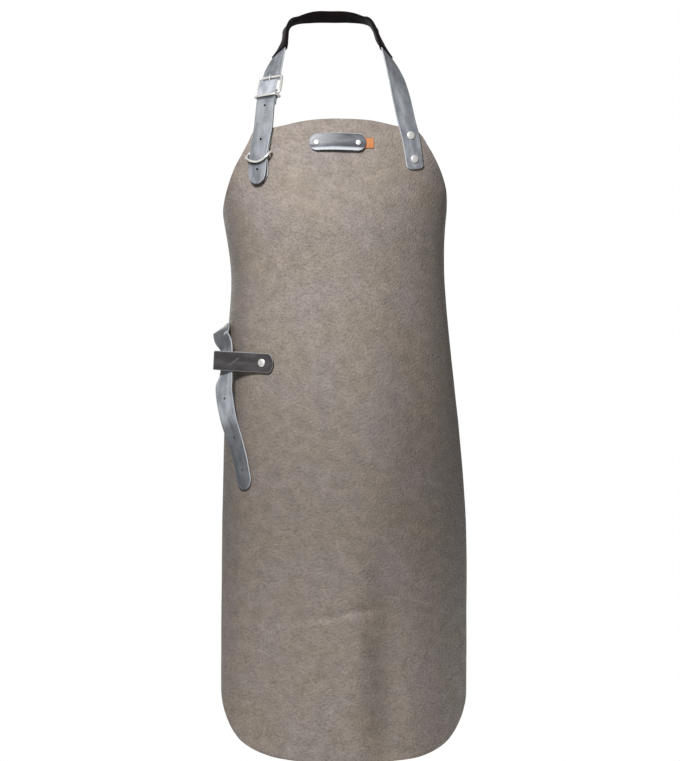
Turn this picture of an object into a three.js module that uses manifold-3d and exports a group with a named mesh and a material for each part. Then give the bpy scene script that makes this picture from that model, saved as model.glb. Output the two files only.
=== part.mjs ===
// A leather work apron, hung as it is worn: bib, neck strap with buckle and pad,
// skirt wrapped round the hips, and a waist tie that hangs through a side loop.
// Millimetres, +Z up, the front faces -Y. The origin is the inner face of the neck pad
// at the nape, where the neck carries the apron.

import * as THREE from "three";
import { mergeVertices } from "three/addons/utils/BufferGeometryUtils.js";
import Module from "manifold-3d";

const wasm = await Module();
wasm.setup();

// Driving dimensions
const HIDE = 2.2; // thickness of the panel's leather
const STRAP = 2.2; // thickness of the straps
const STRAP_WIDTH = 27;
const GAP = 0.4; // clearance between pieces that lie on each other
const WRAP = 118; // degrees that each side of the panel reaches round the body
const BIB_CORNER = 36; // degrees from the middle to a top corner of the bib
const PANEL_COLUMNS = 11; // grid columns in the bib and in each side
const PANEL_ROWS = 30;
const BEND = 16; // degrees that a strap turns between two sections at most

const HOLE_RADIUS = 1.6; // punched holes in the straps
const FRAME_WIRE = 2.1; // wire radii of the buckle and its rings
const KEEPER_WIRE = 1.65;
const FRAME_LENGTH = 30; // between the buckle's two bars
const FRAME_WIDTH = 33.4;
const FRAME_SHIFT = 0.2; // the frame's middle to the right of the strap's
const KEEPER_DROP = 7; // keeper below the buckle's rear bar
const PRONG_RADIUS = 1;

const PAD_WIDTH = 33;
const PAD_THICKNESS = 6.4;
const PAD_REACH = 58; // drop of the pad's two ends
const LABEL_WIDTH = 25;
const LABEL_LENGTH = 80;
const TAB_THICKNESS = 1.2;

const STRAP_RIVET = { cap: 5.75, rise: 2, post: 1.9, back: 4.5 };
const LABEL_RIVET = { cap: 3.8, rise: 1.4, post: 1.3, back: 3.2 };

// The body that the hide follows: an ellipse at each drop below the nape
const FORM = [
  { drop: 150, midX: 4, midY: -68, halfWidth: 196, halfDepth: 94 },
  { drop: 220, midX: 5, midY: -72, halfWidth: 172, halfDepth: 106 },
  { drop: 290, midX: 5.5, midY: -78, halfWidth: 158, halfDepth: 115 },
  { drop: 372, midX: 9.8, midY: -77, halfWidth: 151.2, halfDepth: 111 },
  { drop: 473, midX: 11.2, midY: -74, halfWidth: 158.2, halfDepth: 112 },
  { drop: 591, midX: 15.4, midY: -72, halfWidth: 166.6, halfDepth: 116 },
  { drop: 725, midX: 18.9, midY: -72, halfWidth: 173, halfDepth: 119 },
  { drop: 885, midX: 18.5, midY: -72, halfWidth: 174, halfDepth: 120 },
  { drop: 1060, midX: 18.5, midY: -72, halfWidth: 174, halfDepth: 120 },
];

// Bib top and armholes: the edge's drop by the angle from the middle, on each side
const TOP_EDGE = [
  { angle: 0, left: 155.4, right: 155.4 },
  { angle: 8, left: 157, right: 156 },
  { angle: 15, left: 160.4, right: 157.6 },
  { angle: 21, left: 164.6, right: 161 },
  { angle: 28, left: 168.4, right: 165.6 },
  { angle: 36, left: 171, right: 168 },
  { angle: 41, left: 187, right: 177 },
  { angle: 47, left: 204, right: 192.5 },
  { angle: 54, left: 220.5, right: 209 },
  { angle: 61, left: 238, right: 225 },
  { angle: 68, left: 254.5, right: 240 },
  { angle: 76, left: 271, right: 256.5 },
  { angle: 84, left: 284.5, right: 276 },
  { angle: 92, left: 297, right: 294 },
  { angle: 104, left: 317, right: 316 },
  { angle: 118, left: 340, right: 340 },
];

// Hem: its drop by the angle, the same on both sides
const HEM = [
  { angle: 0, drop: 1053.5 },
  { angle: 17, drop: 1052.6 },
  { angle: 26, drop: 1050.2 },
  { angle: 35, drop: 1047 },
  { angle: 43, drop: 1041.6 },
  { angle: 49, drop: 1036 },
  { angle: 56, drop: 1027.6 },
  { angle: 61, drop: 1019 },
  { angle: 65, drop: 1011.2 },
  { angle: 69, drop: 1002.6 },
  { angle: 73, drop: 994 },
  { angle: 77, drop: 985 },
  { angle: 82, drop: 974 },
  { angle: 90, drop: 955 },
  { angle: 104, drop: 920 },
  { angle: 118, drop: 885 },
];

// Dents and folds: a soft swell (depth over 0) or hollow at an angle and a drop,
// its width in degrees, its height in mm and its lean in degrees per 100 mm
const DENTS = [
  { angle: 8, lean: 0, drop: 225, width: 15, height: 50, depth: -5 },
  { angle: 6, lean: 0.5, drop: 950, width: 8, height: 140, depth: 3.5 },
  { angle: 17, lean: 0.5, drop: 950, width: 8, height: 150, depth: -5.5 },
  { angle: 35, lean: 0, drop: 1040, width: 12, height: 200, depth: 3 },
  { angle: 11, lean: 0, drop: 845, width: 10, height: 12, depth: -1.5 },
  { angle: -38, lean: 0, drop: 1060, width: 16, height: 220, depth: -3 },
];

// Where the long neck strap lies on the bib, from its riveted end on the right
const NECK_SEAT = [
  { x: 117.8, drop: 226.5, lift: 2.9 },
  { x: 117, drop: 220, lift: 1.48 },
  { x: 114.6, drop: 202, lift: 1.5 },
  { x: 111.2, drop: 180, lift: 1.5 },
  { x: 106.6, drop: 163, lift: 1.5 },
];
// Its free run up the chest, round the neck and down to the buckle, with the way it faces
const NECK_RUN = [
  { x: 100, y: -140.5, drop: 130, faceX: 0.25, faceY: -0.9, faceZ: 0.35 },
  { x: 93.4, y: -124, drop: 101, faceX: 0.45, faceY: -0.75, faceZ: 0.5 },
  { x: 86.3, y: -107, drop: 78, faceX: 0.65, faceY: -0.5, faceZ: 0.57 },
  { x: 80, y: -92, drop: 61.6, faceX: 0.8, faceY: -0.3, faceZ: 0.53 },
  { x: 72.8, y: -75, drop: 45, faceX: 0.9, faceY: -0.1, faceZ: 0.42 },
  { x: 64.6, y: -54, drop: 28, faceX: 0.95, faceY: 0, faceZ: 0.3 },
  { x: 61, y: -38, drop: 18, faceX: 0.9, faceY: 0, faceZ: 0.43 },
  { x: 55.5, y: -20, drop: 9.8, faceX: 0.63, faceY: 0, faceZ: 0.77 },
  { x: 43, y: -7, drop: 2.4, faceX: 0.3, faceY: 0.17, faceZ: 0.94 },
  { x: 24, y: -0.5, drop: -1, faceX: 0.1, faceY: 0.32, faceZ: 0.94 },
  { x: 0, y: 1.8, drop: -1.6, faceX: 0, faceY: 0.34, faceZ: 0.94 },
  { x: -24, y: -0.5, drop: -1, faceX: -0.1, faceY: 0.32, faceZ: 0.94 },
  { x: -43, y: -7, drop: 2.4, faceX: -0.3, faceY: 0.17, faceZ: 0.94 },
  { x: -56, y: -20, drop: 9.8, faceX: -0.63, faceY: 0, faceZ: 0.77 },
  { x: -62, y: -38, drop: 19, faceX: -0.9, faceY: 0, faceZ: 0.43 },
  { x: -64.6, y: -56, drop: 31, faceX: -0.95, faceY: 0, faceZ: 0.3 },
  { x: -68.6, y: -75, drop: 46, faceX: -0.88, faceY: -0.2, faceZ: 0.42 },
  { x: -73.6, y: -93, drop: 61.6, faceX: -0.72, faceY: -0.42, faceZ: 0.55 },
];
// The strap through the buckle: along it from the rear bar, and out from the bars
const BUCKLE_RUN = [
  { along: 41, out: -3.6 },
  { along: 34, out: -3.7 },
  { along: 29.5, out: -3.6 },
  { along: 25.8, out: -1.4 },
  { along: 22.6, out: 2 },
  { along: 18.6, out: 4.6 },
  { along: 12, out: 5.8 },
  { along: 4, out: 6 },
  { along: -2, out: 6 },
  { along: -8, out: 6.1 },
  { along: -18, out: 5.7 },
  { along: -26, out: 5.6 },
];
// Its free end down over the short strap, by its lift off the bib
const TIP_SEAT = [
  { x: -92.2, drop: 166, lift: 6.8 },
  { x: -94.9, drop: 184, lift: 7 },
  { x: -97.2, drop: 203, lift: 8.6 },
  { x: -98.6, drop: 226, lift: 8 },
  { x: -99.6, drop: 248.5, lift: 9 },
];
const TIP_HOLES = [137.2, 184.4, 226.8]; // drops of the punched holes

// The short strap: from its lower end on the bib to the buckle's rear bar
const SHORT_SEAT = [
  { x: -99.2, drop: 243, lift: 1.6 },
  { x: -98.7, drop: 232, lift: 1.6 },
  { x: -98.3, drop: 224, lift: 1.7 },
  { x: -97.7, drop: 213, lift: 5 },
  { x: -97, drop: 203, lift: 5.7 },
  { x: -96, drop: 194, lift: 5 },
  { x: -95.1, drop: 185, lift: 1.8 },
  { x: -94.4, drop: 177, lift: 1.6 },
  { x: -92.8, drop: 165, lift: 1.7 },
];

// Rivets: where they go through the hide, and the leather that each holds in front of it
const RIVETS = [
  { name: "neck_rivet_upper", x: 111.1, drop: 179, stack: 2.85, size: STRAP_RIVET },
  { name: "neck_rivet_lower", x: 116, drop: 212, stack: 2.85, size: STRAP_RIVET },
  { name: "buckle_strap_rivet_upper", x: -94.4, drop: 177, stack: 2.9, size: STRAP_RIVET },
  { name: "buckle_strap_rivet_lower", x: -98.7, drop: 232, stack: 2.9, size: STRAP_RIVET },
  { name: "label_rivet_left", x: -19.4, drop: 190, stack: 3.4, size: LABEL_RIVET },
  { name: "label_rivet_right", x: 38.6, drop: 190, stack: 4.8, size: LABEL_RIVET },
  { name: "waist_loop_rivet", x: -93.5, drop: 497, stack: 5.3, size: STRAP_RIVET },
  { name: "waist_tie_rivet", angle: 108, drop: 498, stack: 3.3, size: STRAP_RIVET },
];

// The buckle's rear bar: its middle, the strap's way up and the way it faces
const BUCKLE = {
  middle: new THREE.Vector3(-87.3, -136, -119),
  up: new THREE.Vector3(0.1, 0.6, 0.8),
  face: new THREE.Vector3(-0.35, -0.75, 0.55),
};

// The oval ring: across the strap, out from the bib, and down
const RING = { x: -97, drop: 203 };
const RING_ROUTE = [
  { across: -12, out: 2.2, down: 0 },
  { across: 0, out: 2.2, down: 0 },
  { across: 12, out: 2.2, down: 0 },
  { across: 16.2, out: 3.6, down: 0 },
  { across: 17.3, out: 8, down: 0.6 },
  { across: 13, out: 12.9, down: 7 },
  { across: 6, out: 13.8, down: 12.4 },
  { across: -2, out: 13.9, down: 14.8 },
  { across: -12.6, out: 13.4, down: 12.8 },
  { across: -18.4, out: 8.4, down: 7.4 },
  { across: -16.8, out: 3.6, down: 2 },
];

const LABEL = { x: 9.6, drop: 190 };
const TAB = { inner: 33, outer: 51, height: 15 };

// The waist loop: along the strap to the left of its rivet, and out from the panel
const LOOP = { x: -93.5, drop: 497, rise: 0.05 };
const LOOP_ROUTE = [
  { along: -18, out: 4.05 },
  { along: -8, out: 4.05 },
  { along: 8, out: 4.1 },
  { along: 22, out: 5.2 },
  { along: 38, out: 7.2 },
  { along: 56, out: 8.6 },
  { along: 71, out: 8.8 },
  { along: 78.4, out: 6.6 },
  { along: 80.9, out: 0.4 },
  { along: 78.4, out: -5.8 },
  { along: 71, out: -8 },
  { along: 58, out: -7.4 },
  { along: 42, out: -3.6 },
  { along: 28, out: -0.4 },
  { along: 8, out: 1.45 },
  { along: -10, out: 1.45 },
];

// The waist tie: seated on the right side, round the back, then its turn and free end
const TIE_SEAT = { angles: [100, 108, 116], drop: 498 };
const TIE_BACK = { from: 126, to: 250, step: 12.4, reach: 7.5, depth: 116, drop: 494, climb: 36 };
const TIE_TURN = [
  { x: -151.5, y: -60, drop: 454, faceX: -0.93, faceY: 0.05, faceZ: 0.36 },
  { x: -156, y: -84, drop: 450, faceX: -0.72, faceY: 0, faceZ: 0.69 },
  { x: -154.5, y: -102, drop: 450, faceX: -0.52, faceY: -0.38, faceZ: 0.76 },
  { x: -153.8, y: -112.5, drop: 460, faceX: -0.66, faceY: -0.67, faceZ: 0.34 },
];
const TIE_IN_LOOP = {
  along: 62.4,
  out: 0.7,
  above: 21,
  below: 18,
  face: new THREE.Vector3(-0.766, -0.643, 0.05),
};
const TIE_HANG = [
  { x: -150, y: -130.6, drop: 531, faceX: -0.5, faceY: -0.86, faceZ: 0.06 },
  { x: -148.8, y: -130.4, drop: 547, faceX: -0.48, faceY: -0.87, faceZ: 0.08 },
  { x: -142.5, y: -131, drop: 580, faceX: -0.56, faceY: -0.83, faceZ: 0.05 },
  { x: -134.6, y: -133.8, drop: 604, faceX: -0.64, faceY: -0.77, faceZ: 0 },
  { x: -126.4, y: -140.5, drop: 634, faceX: -0.66, faceY: -0.75, faceZ: -0.03 },
  { x: -121.6, y: -144.8, drop: 661, faceX: -0.66, faceY: -0.75, faceZ: -0.03 },
  { x: -119.6, y: -146.6, drop: 674, faceX: -0.66, faceY: -0.75, faceZ: -0.03 },
];
const TIE_HOLES = [547, 602, 647];

const COLOURS = {
  taupe: { color: 0x8f857c, roughness: 0.62, metalness: 0 },
  grey: { color: 0x7f838a, roughness: 0.5, metalness: 0 },
  charcoal: { color: 0x4e4b4c, roughness: 0.55, metalness: 0 },
  black: { color: 0x1c1716, roughness: 0.95, metalness: 0 },
  nickel: { color: 0xc9cbcd, roughness: 0.22, metalness: 1 },
  orange: { color: 0xec8a4a, roughness: 0.6, metalness: 0 },
};

const radians = THREE.MathUtils.degToRad;

/** A table's column at a place along its key, smooth through the rows. */
function lookup(table, key, column, at) {
  const last = table.length - 1;
  let row = 0;
  while (row < last - 1 && table[row + 1][key] < at) {
    row += 1;
  }
  const slope = (low, high) => {
    const from = table[Math.max(low, 0)];
    const to = table[Math.min(high, last)];
    return (to[column] - from[column]) / (to[key] - from[key]);
  };
  const span = table[row + 1][key] - table[row][key];
  const t = (at - table[row][key]) / span;
  const start = table[row][column];
  const end = table[row + 1][column];
  const leave = slope(row - 1, row + 1) * span;
  const arrive = slope(row, row + 2) * span;
  const bend = t * t * (3 - 2 * t);
  return start + (end - start) * bend + leave * t * (1 - t) * (1 - t) - arrive * t * t * (1 - t);
}

/** How far the dents push the hide out at an angle and a drop. */
function dentDepth(angle, drop) {
  let depth = 0;
  for (const dent of DENTS) {
    const middle = dent.angle + (dent.lean * (drop - dent.drop)) / 100;
    const across = (angle - middle) / dent.width;
    const down = (drop - dent.drop) / dent.height;
    depth += dent.depth * Math.exp(-across * across - down * down);
  }
  return depth;
}

/** The plain body form at an angle and a drop. */
function formPoint(angle, drop) {
  const turn = radians(angle);
  return new THREE.Vector3(
    lookup(FORM, "drop", "midX", drop) + lookup(FORM, "drop", "halfWidth", drop) * Math.sin(turn),
    lookup(FORM, "drop", "midY", drop) - lookup(FORM, "drop", "halfDepth", drop) * Math.cos(turn),
    -drop,
  );
}

/** A direction square to the surface that a point function draws. */
function facing(point, angle, drop) {
  const across = point(angle + 0.5, drop).sub(point(angle - 0.5, drop));
  const up = point(angle, drop - 1.5).sub(point(angle, drop + 1.5));
  return across.cross(up).normalize();
}

/** The hide's outer face at an angle and a drop. */
function hidePoint(angle, drop) {
  const face = facing(formPoint, angle, drop);
  return formPoint(angle, drop).addScaledVector(face, dentDepth(angle, drop));
}

/** A place on the hide's outer face, lifted off it, with the way the hide faces there. */
function onHide(angle, drop, lift) {
  const face = facing(hidePoint, angle, drop);
  return { at: hidePoint(angle, drop).addScaledVector(face, lift), face };
}

/** The same place found by its x on the front of the apron. */
function onFront(x, drop, lift) {
  const middle = lookup(FORM, "drop", "midX", drop);
  const half = lookup(FORM, "drop", "halfWidth", drop);
  return onHide(THREE.MathUtils.radToDeg(Math.asin((x - middle) / half)), drop, lift);
}

/** A closed body from vertices and triangles, turned so that its faces point out. */
function closedBody(points, triangles) {
  let volume = 0;
  for (const [a, b, c] of triangles) {
    volume += points[a].dot(points[b].clone().cross(points[c]));
  }
  const order = volume < 0 ? ([a, b, c]) => [a, c, b] : (triangle) => triangle;
  const geometry = new THREE.BufferGeometry().setFromPoints(points);
  geometry.setIndex(triangles.map(order).flat());
  return geometry;
}

/** A leather body between two grids of points, its outer and inner faces. */
function sheetBody(outer, inner) {
  const rows = outer.length;
  const columns = outer[0].length;
  const points = [...outer.flat(), ...inner.flat()];
  const index = (row, column, side) => side * rows * columns + row * columns + column;
  const triangles = [];
  const quad = (a, b, c, d) => triangles.push([a, b, c], [a, c, d]);
  for (let row = 0; row < rows - 1; row += 1) {
    for (let column = 0; column < columns - 1; column += 1) {
      const [next, right] = [row + 1, column + 1];
      quad(index(row, column, 0), index(row, right, 0), index(next, right, 0), index(next, column, 0));
      quad(index(row, column, 1), index(next, column, 1), index(next, right, 1), index(row, right, 1));
    }
    const [first, final] = [0, columns - 1];
    quad(index(row, first, 0), index(row + 1, first, 0), index(row + 1, first, 1), index(row, first, 1));
    quad(index(row + 1, final, 0), index(row, final, 0), index(row, final, 1), index(row + 1, final, 1));
  }
  for (let column = 0; column < columns - 1; column += 1) {
    const [top, foot, right] = [0, rows - 1, column + 1];
    quad(index(top, right, 0), index(top, column, 0), index(top, column, 1), index(top, right, 1));
    quad(index(foot, column, 0), index(foot, right, 0), index(foot, right, 1), index(foot, column, 1));
  }
  return closedBody(points, triangles);
}

/** Even steps along a route of places, each with its facing and its distance from the start. */
function sampleRoute(route, step) {
  const path = new THREE.CatmullRomCurve3(route.map((place) => place.at));
  const faces = new THREE.CatmullRomCurve3(route.map((place) => place.face));
  path.arcLengthDivisions = 2000;
  path.updateArcLengths();
  const length = path.getLength();
  const count = Math.ceil(length / step);
  const samples = [];
  for (let index = 0; index <= count; index += 1) {
    const t = path.getUtoTmapping(index / count);
    samples.push({ at: path.getPoint(t), face: faces.getPoint(t), gone: (length * index) / count });
  }
  return samples;
}

/** Samples of a strap: closer where it bends or twists, with its ends rounded. */
function strapSamples(route, step, startRound, endRound) {
  const fine = strapFrames(sampleRoute(route, 0.25));
  const last = fine.length - 1;
  const length = fine[last].gone;
  const ends = [0.08, 0.25, 0.5, 1];
  const stops = ends.flatMap((part) => [part * startRound, length - part * endRound]);
  const kept = [fine[0]];
  fine.forEach((frame, index) => {
    const before = kept[kept.length - 1];
    const bend = Math.max(frame.way.angleTo(before.way), frame.face.angleTo(before.face));
    const atStop = stops.some((stop) => Math.abs(stop - frame.gone) < 0.125);
    if (index === last || atStop || bend > radians(BEND) || frame.gone - before.gone > step) {
      kept.push(frame);
    }
  });
  return kept.map((frame) => {
    const fromEnd = Math.min(frame.gone / startRound, (length - frame.gone) / endRound, 1);
    return { ...frame, spread: Math.max(Math.sqrt(1 - (1 - fromEnd) ** 2), 0.3) };
  });
}

/** Frames along the samples: the strap's way, its width direction and its facing. */
function strapFrames(samples) {
  return samples.map((sample, index) => {
    const before = samples[Math.max(index - 1, 0)].at;
    const after = samples[Math.min(index + 1, samples.length - 1)].at;
    const way = after.clone().sub(before).normalize();
    const across = way.clone().cross(sample.face).normalize();
    const face = across.clone().cross(way).normalize();
    return { at: sample.at, way, across, face, gone: sample.gone, spread: 1 };
  });
}

/** A flat strap along frames. */
function strapBody(frames, width, thickness) {
  const side = (out) =>
    frames.map(({ at, across, face, spread }) => {
      const middle = at.clone().addScaledVector(face, (out * thickness) / 2);
      const reach = (width / 2) * spread;
      return [middle.clone().addScaledVector(across, -reach), middle.clone().addScaledVector(across, reach)];
    });
  return sheetBody(side(1), side(-1));
}

/** A geometry as a solid that can be cut. */
function toSolid(geometry) {
  const bare = geometry.clone();
  bare.deleteAttribute("normal");
  bare.deleteAttribute("uv");
  const merged = mergeVertices(bare, 1e-4);
  return new wasm.Manifold(
    new wasm.Mesh({
      numProp: 3,
      vertProperties: new Float32Array(merged.attributes.position.array),
      triVerts: new Uint32Array(merged.index.array),
    }),
  );
}

/** A geometry with the given ones cut out of it. */
function cut(geometry, tools) {
  let solid = toSolid(geometry);
  for (const tool of tools) {
    solid = solid.subtract(toSolid(tool));
  }
  const mesh = solid.getMesh();
  const result = new THREE.BufferGeometry();
  result.setAttribute("position", new THREE.BufferAttribute(new Float32Array(mesh.vertProperties), 3));
  result.setIndex(new THREE.BufferAttribute(new Uint32Array(mesh.triVerts), 1));
  return result;
}

/** A round punch through a place, along the way it faces. */
function punch(place, radius, length) {
  const geometry = new THREE.CylinderGeometry(radius, radius, length, 10);
  const turn = new THREE.Quaternion().setFromUnitVectors(new THREE.Vector3(0, 1, 0), place.face);
  return geometry.applyQuaternion(turn).translate(place.at.x, place.at.y, place.at.z);
}

/** The frame of a strap nearest to a drop, on one side of the apron. */
function frameAtDrop(frames, drop, side) {
  let best = frames[0];
  for (const frame of frames) {
    const better = Math.abs(frame.at.z + drop) < Math.abs(best.at.z + drop);
    if (frame.at.x * side > 0 && (better || best.at.x * side <= 0)) {
      best = frame;
    }
  }
  return best;
}

/** A capped rivet about the hide's outer face, round the leather that it holds in front. */
function rivetBody(size, stack) {
  const back = -HIDE - 0.7;
  const front = stack + 0.35;
  const outline = [
    [0, back - 1.2],
    [size.back, back - 1.2],
    [size.back, back],
    [size.post, back],
    [size.post, front],
    [size.cap, front],
    [size.cap * 0.97, front + size.rise * 0.45],
    [size.cap * 0.78, front + size.rise * 0.85],
    [size.cap * 0.42, front + size.rise],
    [0, front + size.rise],
  ];
  return new THREE.LatheGeometry(outline.map(([radius, height]) => new THREE.Vector2(radius, height)), 12);
}

/** A closed ring of wire through places. */
function wireRing(places, radius, steps, sides) {
  const path = new THREE.CatmullRomCurve3(places, true);
  const ring = new THREE.TubeGeometry(path, steps, radius, sides, true);
  ring.deleteAttribute("normal");
  ring.deleteAttribute("uv");
  return mergeVertices(ring, 1e-3);
}

/** Places round a rectangle with rounded corners, in the plane of two directions. */
function roundedRectangle(middle, right, up, halfWidth, halfHeight, corner) {
  const places = [];
  const corners = [
    [1, 1, 0],
    [-1, 1, 90],
    [-1, -1, 180],
    [1, -1, 270],
  ];
  for (const [signX, signY, start] of corners) {
    for (const turn of [0, 30, 60, 90]) {
      const angle = radians(start + turn);
      const x = signX * (halfWidth - corner) + corner * Math.cos(angle);
      const y = signY * (halfHeight - corner) + corner * Math.sin(angle);
      places.push(middle.clone().addScaledVector(right, x).addScaledVector(up, y));
    }
  }
  return places;
}

const group = new THREE.Group();

/** Adds a named piece to the apron. */
function addPiece(name, geometry, colour, place) {
  const mesh = new THREE.Mesh(geometry, new THREE.MeshStandardMaterial(colour));
  mesh.name = name;
  if (place) {
    mesh.position.copy(place.at);
    mesh.quaternion.setFromUnitVectors(new THREE.Vector3(0, 1, 0), place.face);
  }
  group.add(mesh);
}

// Rivet places on the hide, and the holes that their posts go through
const rivets = RIVETS.map((row) => ({
  ...row,
  place: row.angle ? onHide(row.angle, row.drop, 0) : onFront(row.x, row.drop, 0),
}));
const holes = {};
for (const { name, place, size } of rivets) {
  holes[name] = punch(place, size.post + 0.35, 24);
}

// The panel: columns of even angle, rows from the top edge down to the hem
const columnAngles = [];
for (let column = 0; column < PANEL_COLUMNS; column += 1) {
  columnAngles.push(-WRAP + ((WRAP - BIB_CORNER) * column) / PANEL_COLUMNS);
}
for (let column = 0; column < PANEL_COLUMNS; column += 1) {
  columnAngles.push(-BIB_CORNER + (2 * BIB_CORNER * column) / PANEL_COLUMNS);
}
for (let column = 0; column <= PANEL_COLUMNS; column += 1) {
  columnAngles.push(BIB_CORNER + ((WRAP - BIB_CORNER) * column) / PANEL_COLUMNS);
}
const panelGrid = (lift) => {
  const rows = [];
  for (let row = 0; row <= PANEL_ROWS; row += 1) {
    rows.push(
      columnAngles.map((angle) => {
        const top = lookup(TOP_EDGE, "angle", angle < 0 ? "left" : "right", Math.abs(angle));
        const foot = lookup(HEM, "angle", "drop", Math.abs(angle));
        return onHide(angle, top + ((foot - top) * row) / PANEL_ROWS, lift).at;
      }),
    );
  }
  return rows;
};
addPiece("apron_panel", cut(sheetBody(panelGrid(0), panelGrid(-HIDE)), Object.values(holes)), COLOURS.taupe);

// The buckle's own directions: up the strap, to the right and out
const up = BUCKLE.up.clone().normalize();
const right = up.clone().cross(BUCKLE.face).normalize();
const out = right.clone().cross(up).normalize();
const atBuckle = (across, along, lift) =>
  BUCKLE.middle
    .clone()
    .addScaledVector(right, across)
    .addScaledVector(up, along)
    .addScaledVector(out, lift);

// The places of a strap's free run
const runPlaces = (rows) =>
  rows.map(({ x, y, drop, faceX, faceY, faceZ }) => ({
    at: new THREE.Vector3(x, y, -drop),
    face: new THREE.Vector3(faceX, faceY, faceZ),
  }));

// The long neck strap
const neckRoute = [
  ...NECK_SEAT.map(({ x, drop, lift }) => onFront(x, drop, lift)),
  ...runPlaces(NECK_RUN),
  ...BUCKLE_RUN.map(({ along, out: lift }) => ({ at: atBuckle(0, along, lift), face: out })),
  ...TIP_SEAT.map(({ x, drop, lift }) => onFront(x, drop, lift)),
];
const neckFrames = strapSamples(neckRoute, 12, 5, 15);
const neckFine = strapFrames(sampleRoute(neckRoute, 0.5));
const prongRun = [atBuckle(0, 8, 1.2), atBuckle(0, 33, 3.9)];
const prongWay = prongRun[1].clone().sub(prongRun[0]).normalize();
const prongHole = punch(
  { at: prongRun[0].clone().lerp(prongRun[1], 0.5), face: prongWay },
  PRONG_RADIUS + 0.6,
  26,
);
const tipHoles = TIP_HOLES.map((drop) => punch(frameAtDrop(neckFine, drop, -1), HOLE_RADIUS, 3.4));
const neckRivetHoles = [holes.neck_rivet_upper, holes.neck_rivet_lower];
addPiece(
  "neck_strap",
  cut(strapBody(neckFrames, STRAP_WIDTH, STRAP), [...neckRivetHoles, ...tipHoles, prongHole]),
  COLOURS.grey,
);

// The pad: a sleeve round the strap from one side of the neck to the other
const aroundNeck = (below) => neckFrames.filter(({ at }) => at.z > -below && at.y > -110);
addPiece(
  "neck_pad",
  cut(strapBody(aroundNeck(PAD_REACH), PAD_WIDTH, PAD_THICKNESS), [
    strapBody(aroundNeck(PAD_REACH + 20), STRAP_WIDTH + 1.2, STRAP + 0.9),
  ]),
  COLOURS.black,
);

// The short strap, folded round the rear bar
const fold = FRAME_WIRE + GAP + STRAP / 2 + 0.1;
const shortRoute = [
  ...SHORT_SEAT.map(({ x, drop, lift }) => onFront(x, drop, lift)),
  { at: atBuckle(0, -26, 1.5), face: out },
  { at: atBuckle(0, -14, 1.6), face: out },
  { at: atBuckle(0, -6, 2.9), face: out },
];
for (const turn of [90, 60, 30, 0, -30, -60, -90]) {
  const face = out.clone().multiplyScalar(Math.sin(radians(turn)));
  face.addScaledVector(up, Math.cos(radians(turn)));
  shortRoute.push({ at: BUCKLE.middle.clone().addScaledVector(face, fold), face });
}
shortRoute.push(
  { at: atBuckle(0, -6, -2.9), face: out.clone().negate() },
  { at: atBuckle(0, -14, -1.6), face: out.clone().negate() },
  { at: atBuckle(0, -24, -1.5), face: out.clone().negate() },
);
const shortFrames = strapSamples(shortRoute, 9, 8, 4);
const prongSlot = new THREE.BoxGeometry(2 * PRONG_RADIUS + 1.4, 9, 24);
prongSlot.translate(0, 4.5 - 4.2, 0);
prongSlot.applyMatrix4(new THREE.Matrix4().makeBasis(right, up, out));
prongSlot.translate(BUCKLE.middle.x, BUCKLE.middle.y, BUCKLE.middle.z);
addPiece(
  "buckle_strap",
  cut(strapBody(shortFrames, STRAP_WIDTH, STRAP), [
    holes.buckle_strap_rivet_upper,
    holes.buckle_strap_rivet_lower,
    prongSlot,
  ]),
  COLOURS.grey,
);

// Buckle frame, prong, keeper and ring
addPiece(
  "buckle_frame",
  wireRing(
    roundedRectangle(
      atBuckle(FRAME_SHIFT, FRAME_LENGTH / 2, 0),
      right,
      up,
      FRAME_WIDTH / 2,
      FRAME_LENGTH / 2,
      2.6,
    ),
    FRAME_WIRE,
    40,
    6,
  ),
  COLOURS.nickel,
);
const eye = FRAME_WIRE + GAP + PRONG_RADIUS + 0.2;
const prongPlaces = [];
for (const turn of [-160, -120, -80, -40, 0]) {
  prongPlaces.push(atBuckle(0, eye * Math.cos(radians(turn)), eye * Math.sin(radians(turn))));
}
prongPlaces.push(atBuckle(0, 5.4, 1), ...prongRun);
const prongShape = new THREE.Shape().absarc(0, 0, PRONG_RADIUS, 0, 2 * Math.PI);
addPiece(
  "buckle_prong",
  mergeVertices(
    new THREE.ExtrudeGeometry(prongShape, {
      steps: 16,
      curveSegments: 4,
      bevelEnabled: false,
      extrudePath: new THREE.CatmullRomCurve3(prongPlaces),
    }),
  ),
  COLOURS.nickel,
);
const keeperOut = out.clone().addScaledVector(up, -0.5);
addPiece(
  "buckle_keeper",
  wireRing(
    roundedRectangle(atBuckle(0, -KEEPER_DROP, 1.5), right, keeperOut, STRAP_WIDTH / 2 + 2.1, 8.5, 3),
    KEEPER_WIRE,
    32,
    6,
  ),
  COLOURS.nickel,
);
const ringSeat = onFront(RING.x, RING.drop, 0);
const ringRight = new THREE.Vector3(0, 0, 1).cross(ringSeat.face).normalize();
addPiece(
  "strap_ring",
  wireRing(
    RING_ROUTE.map(({ across, out: lift, down }) =>
      ringSeat.at
        .clone()
        .addScaledVector(ringRight, across)
        .addScaledVector(ringSeat.face, lift)
        .add(new THREE.Vector3(0, 0, -down)),
    ),
    KEEPER_WIRE,
    36,
    6,
  ),
  COLOURS.nickel,
);

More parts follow.
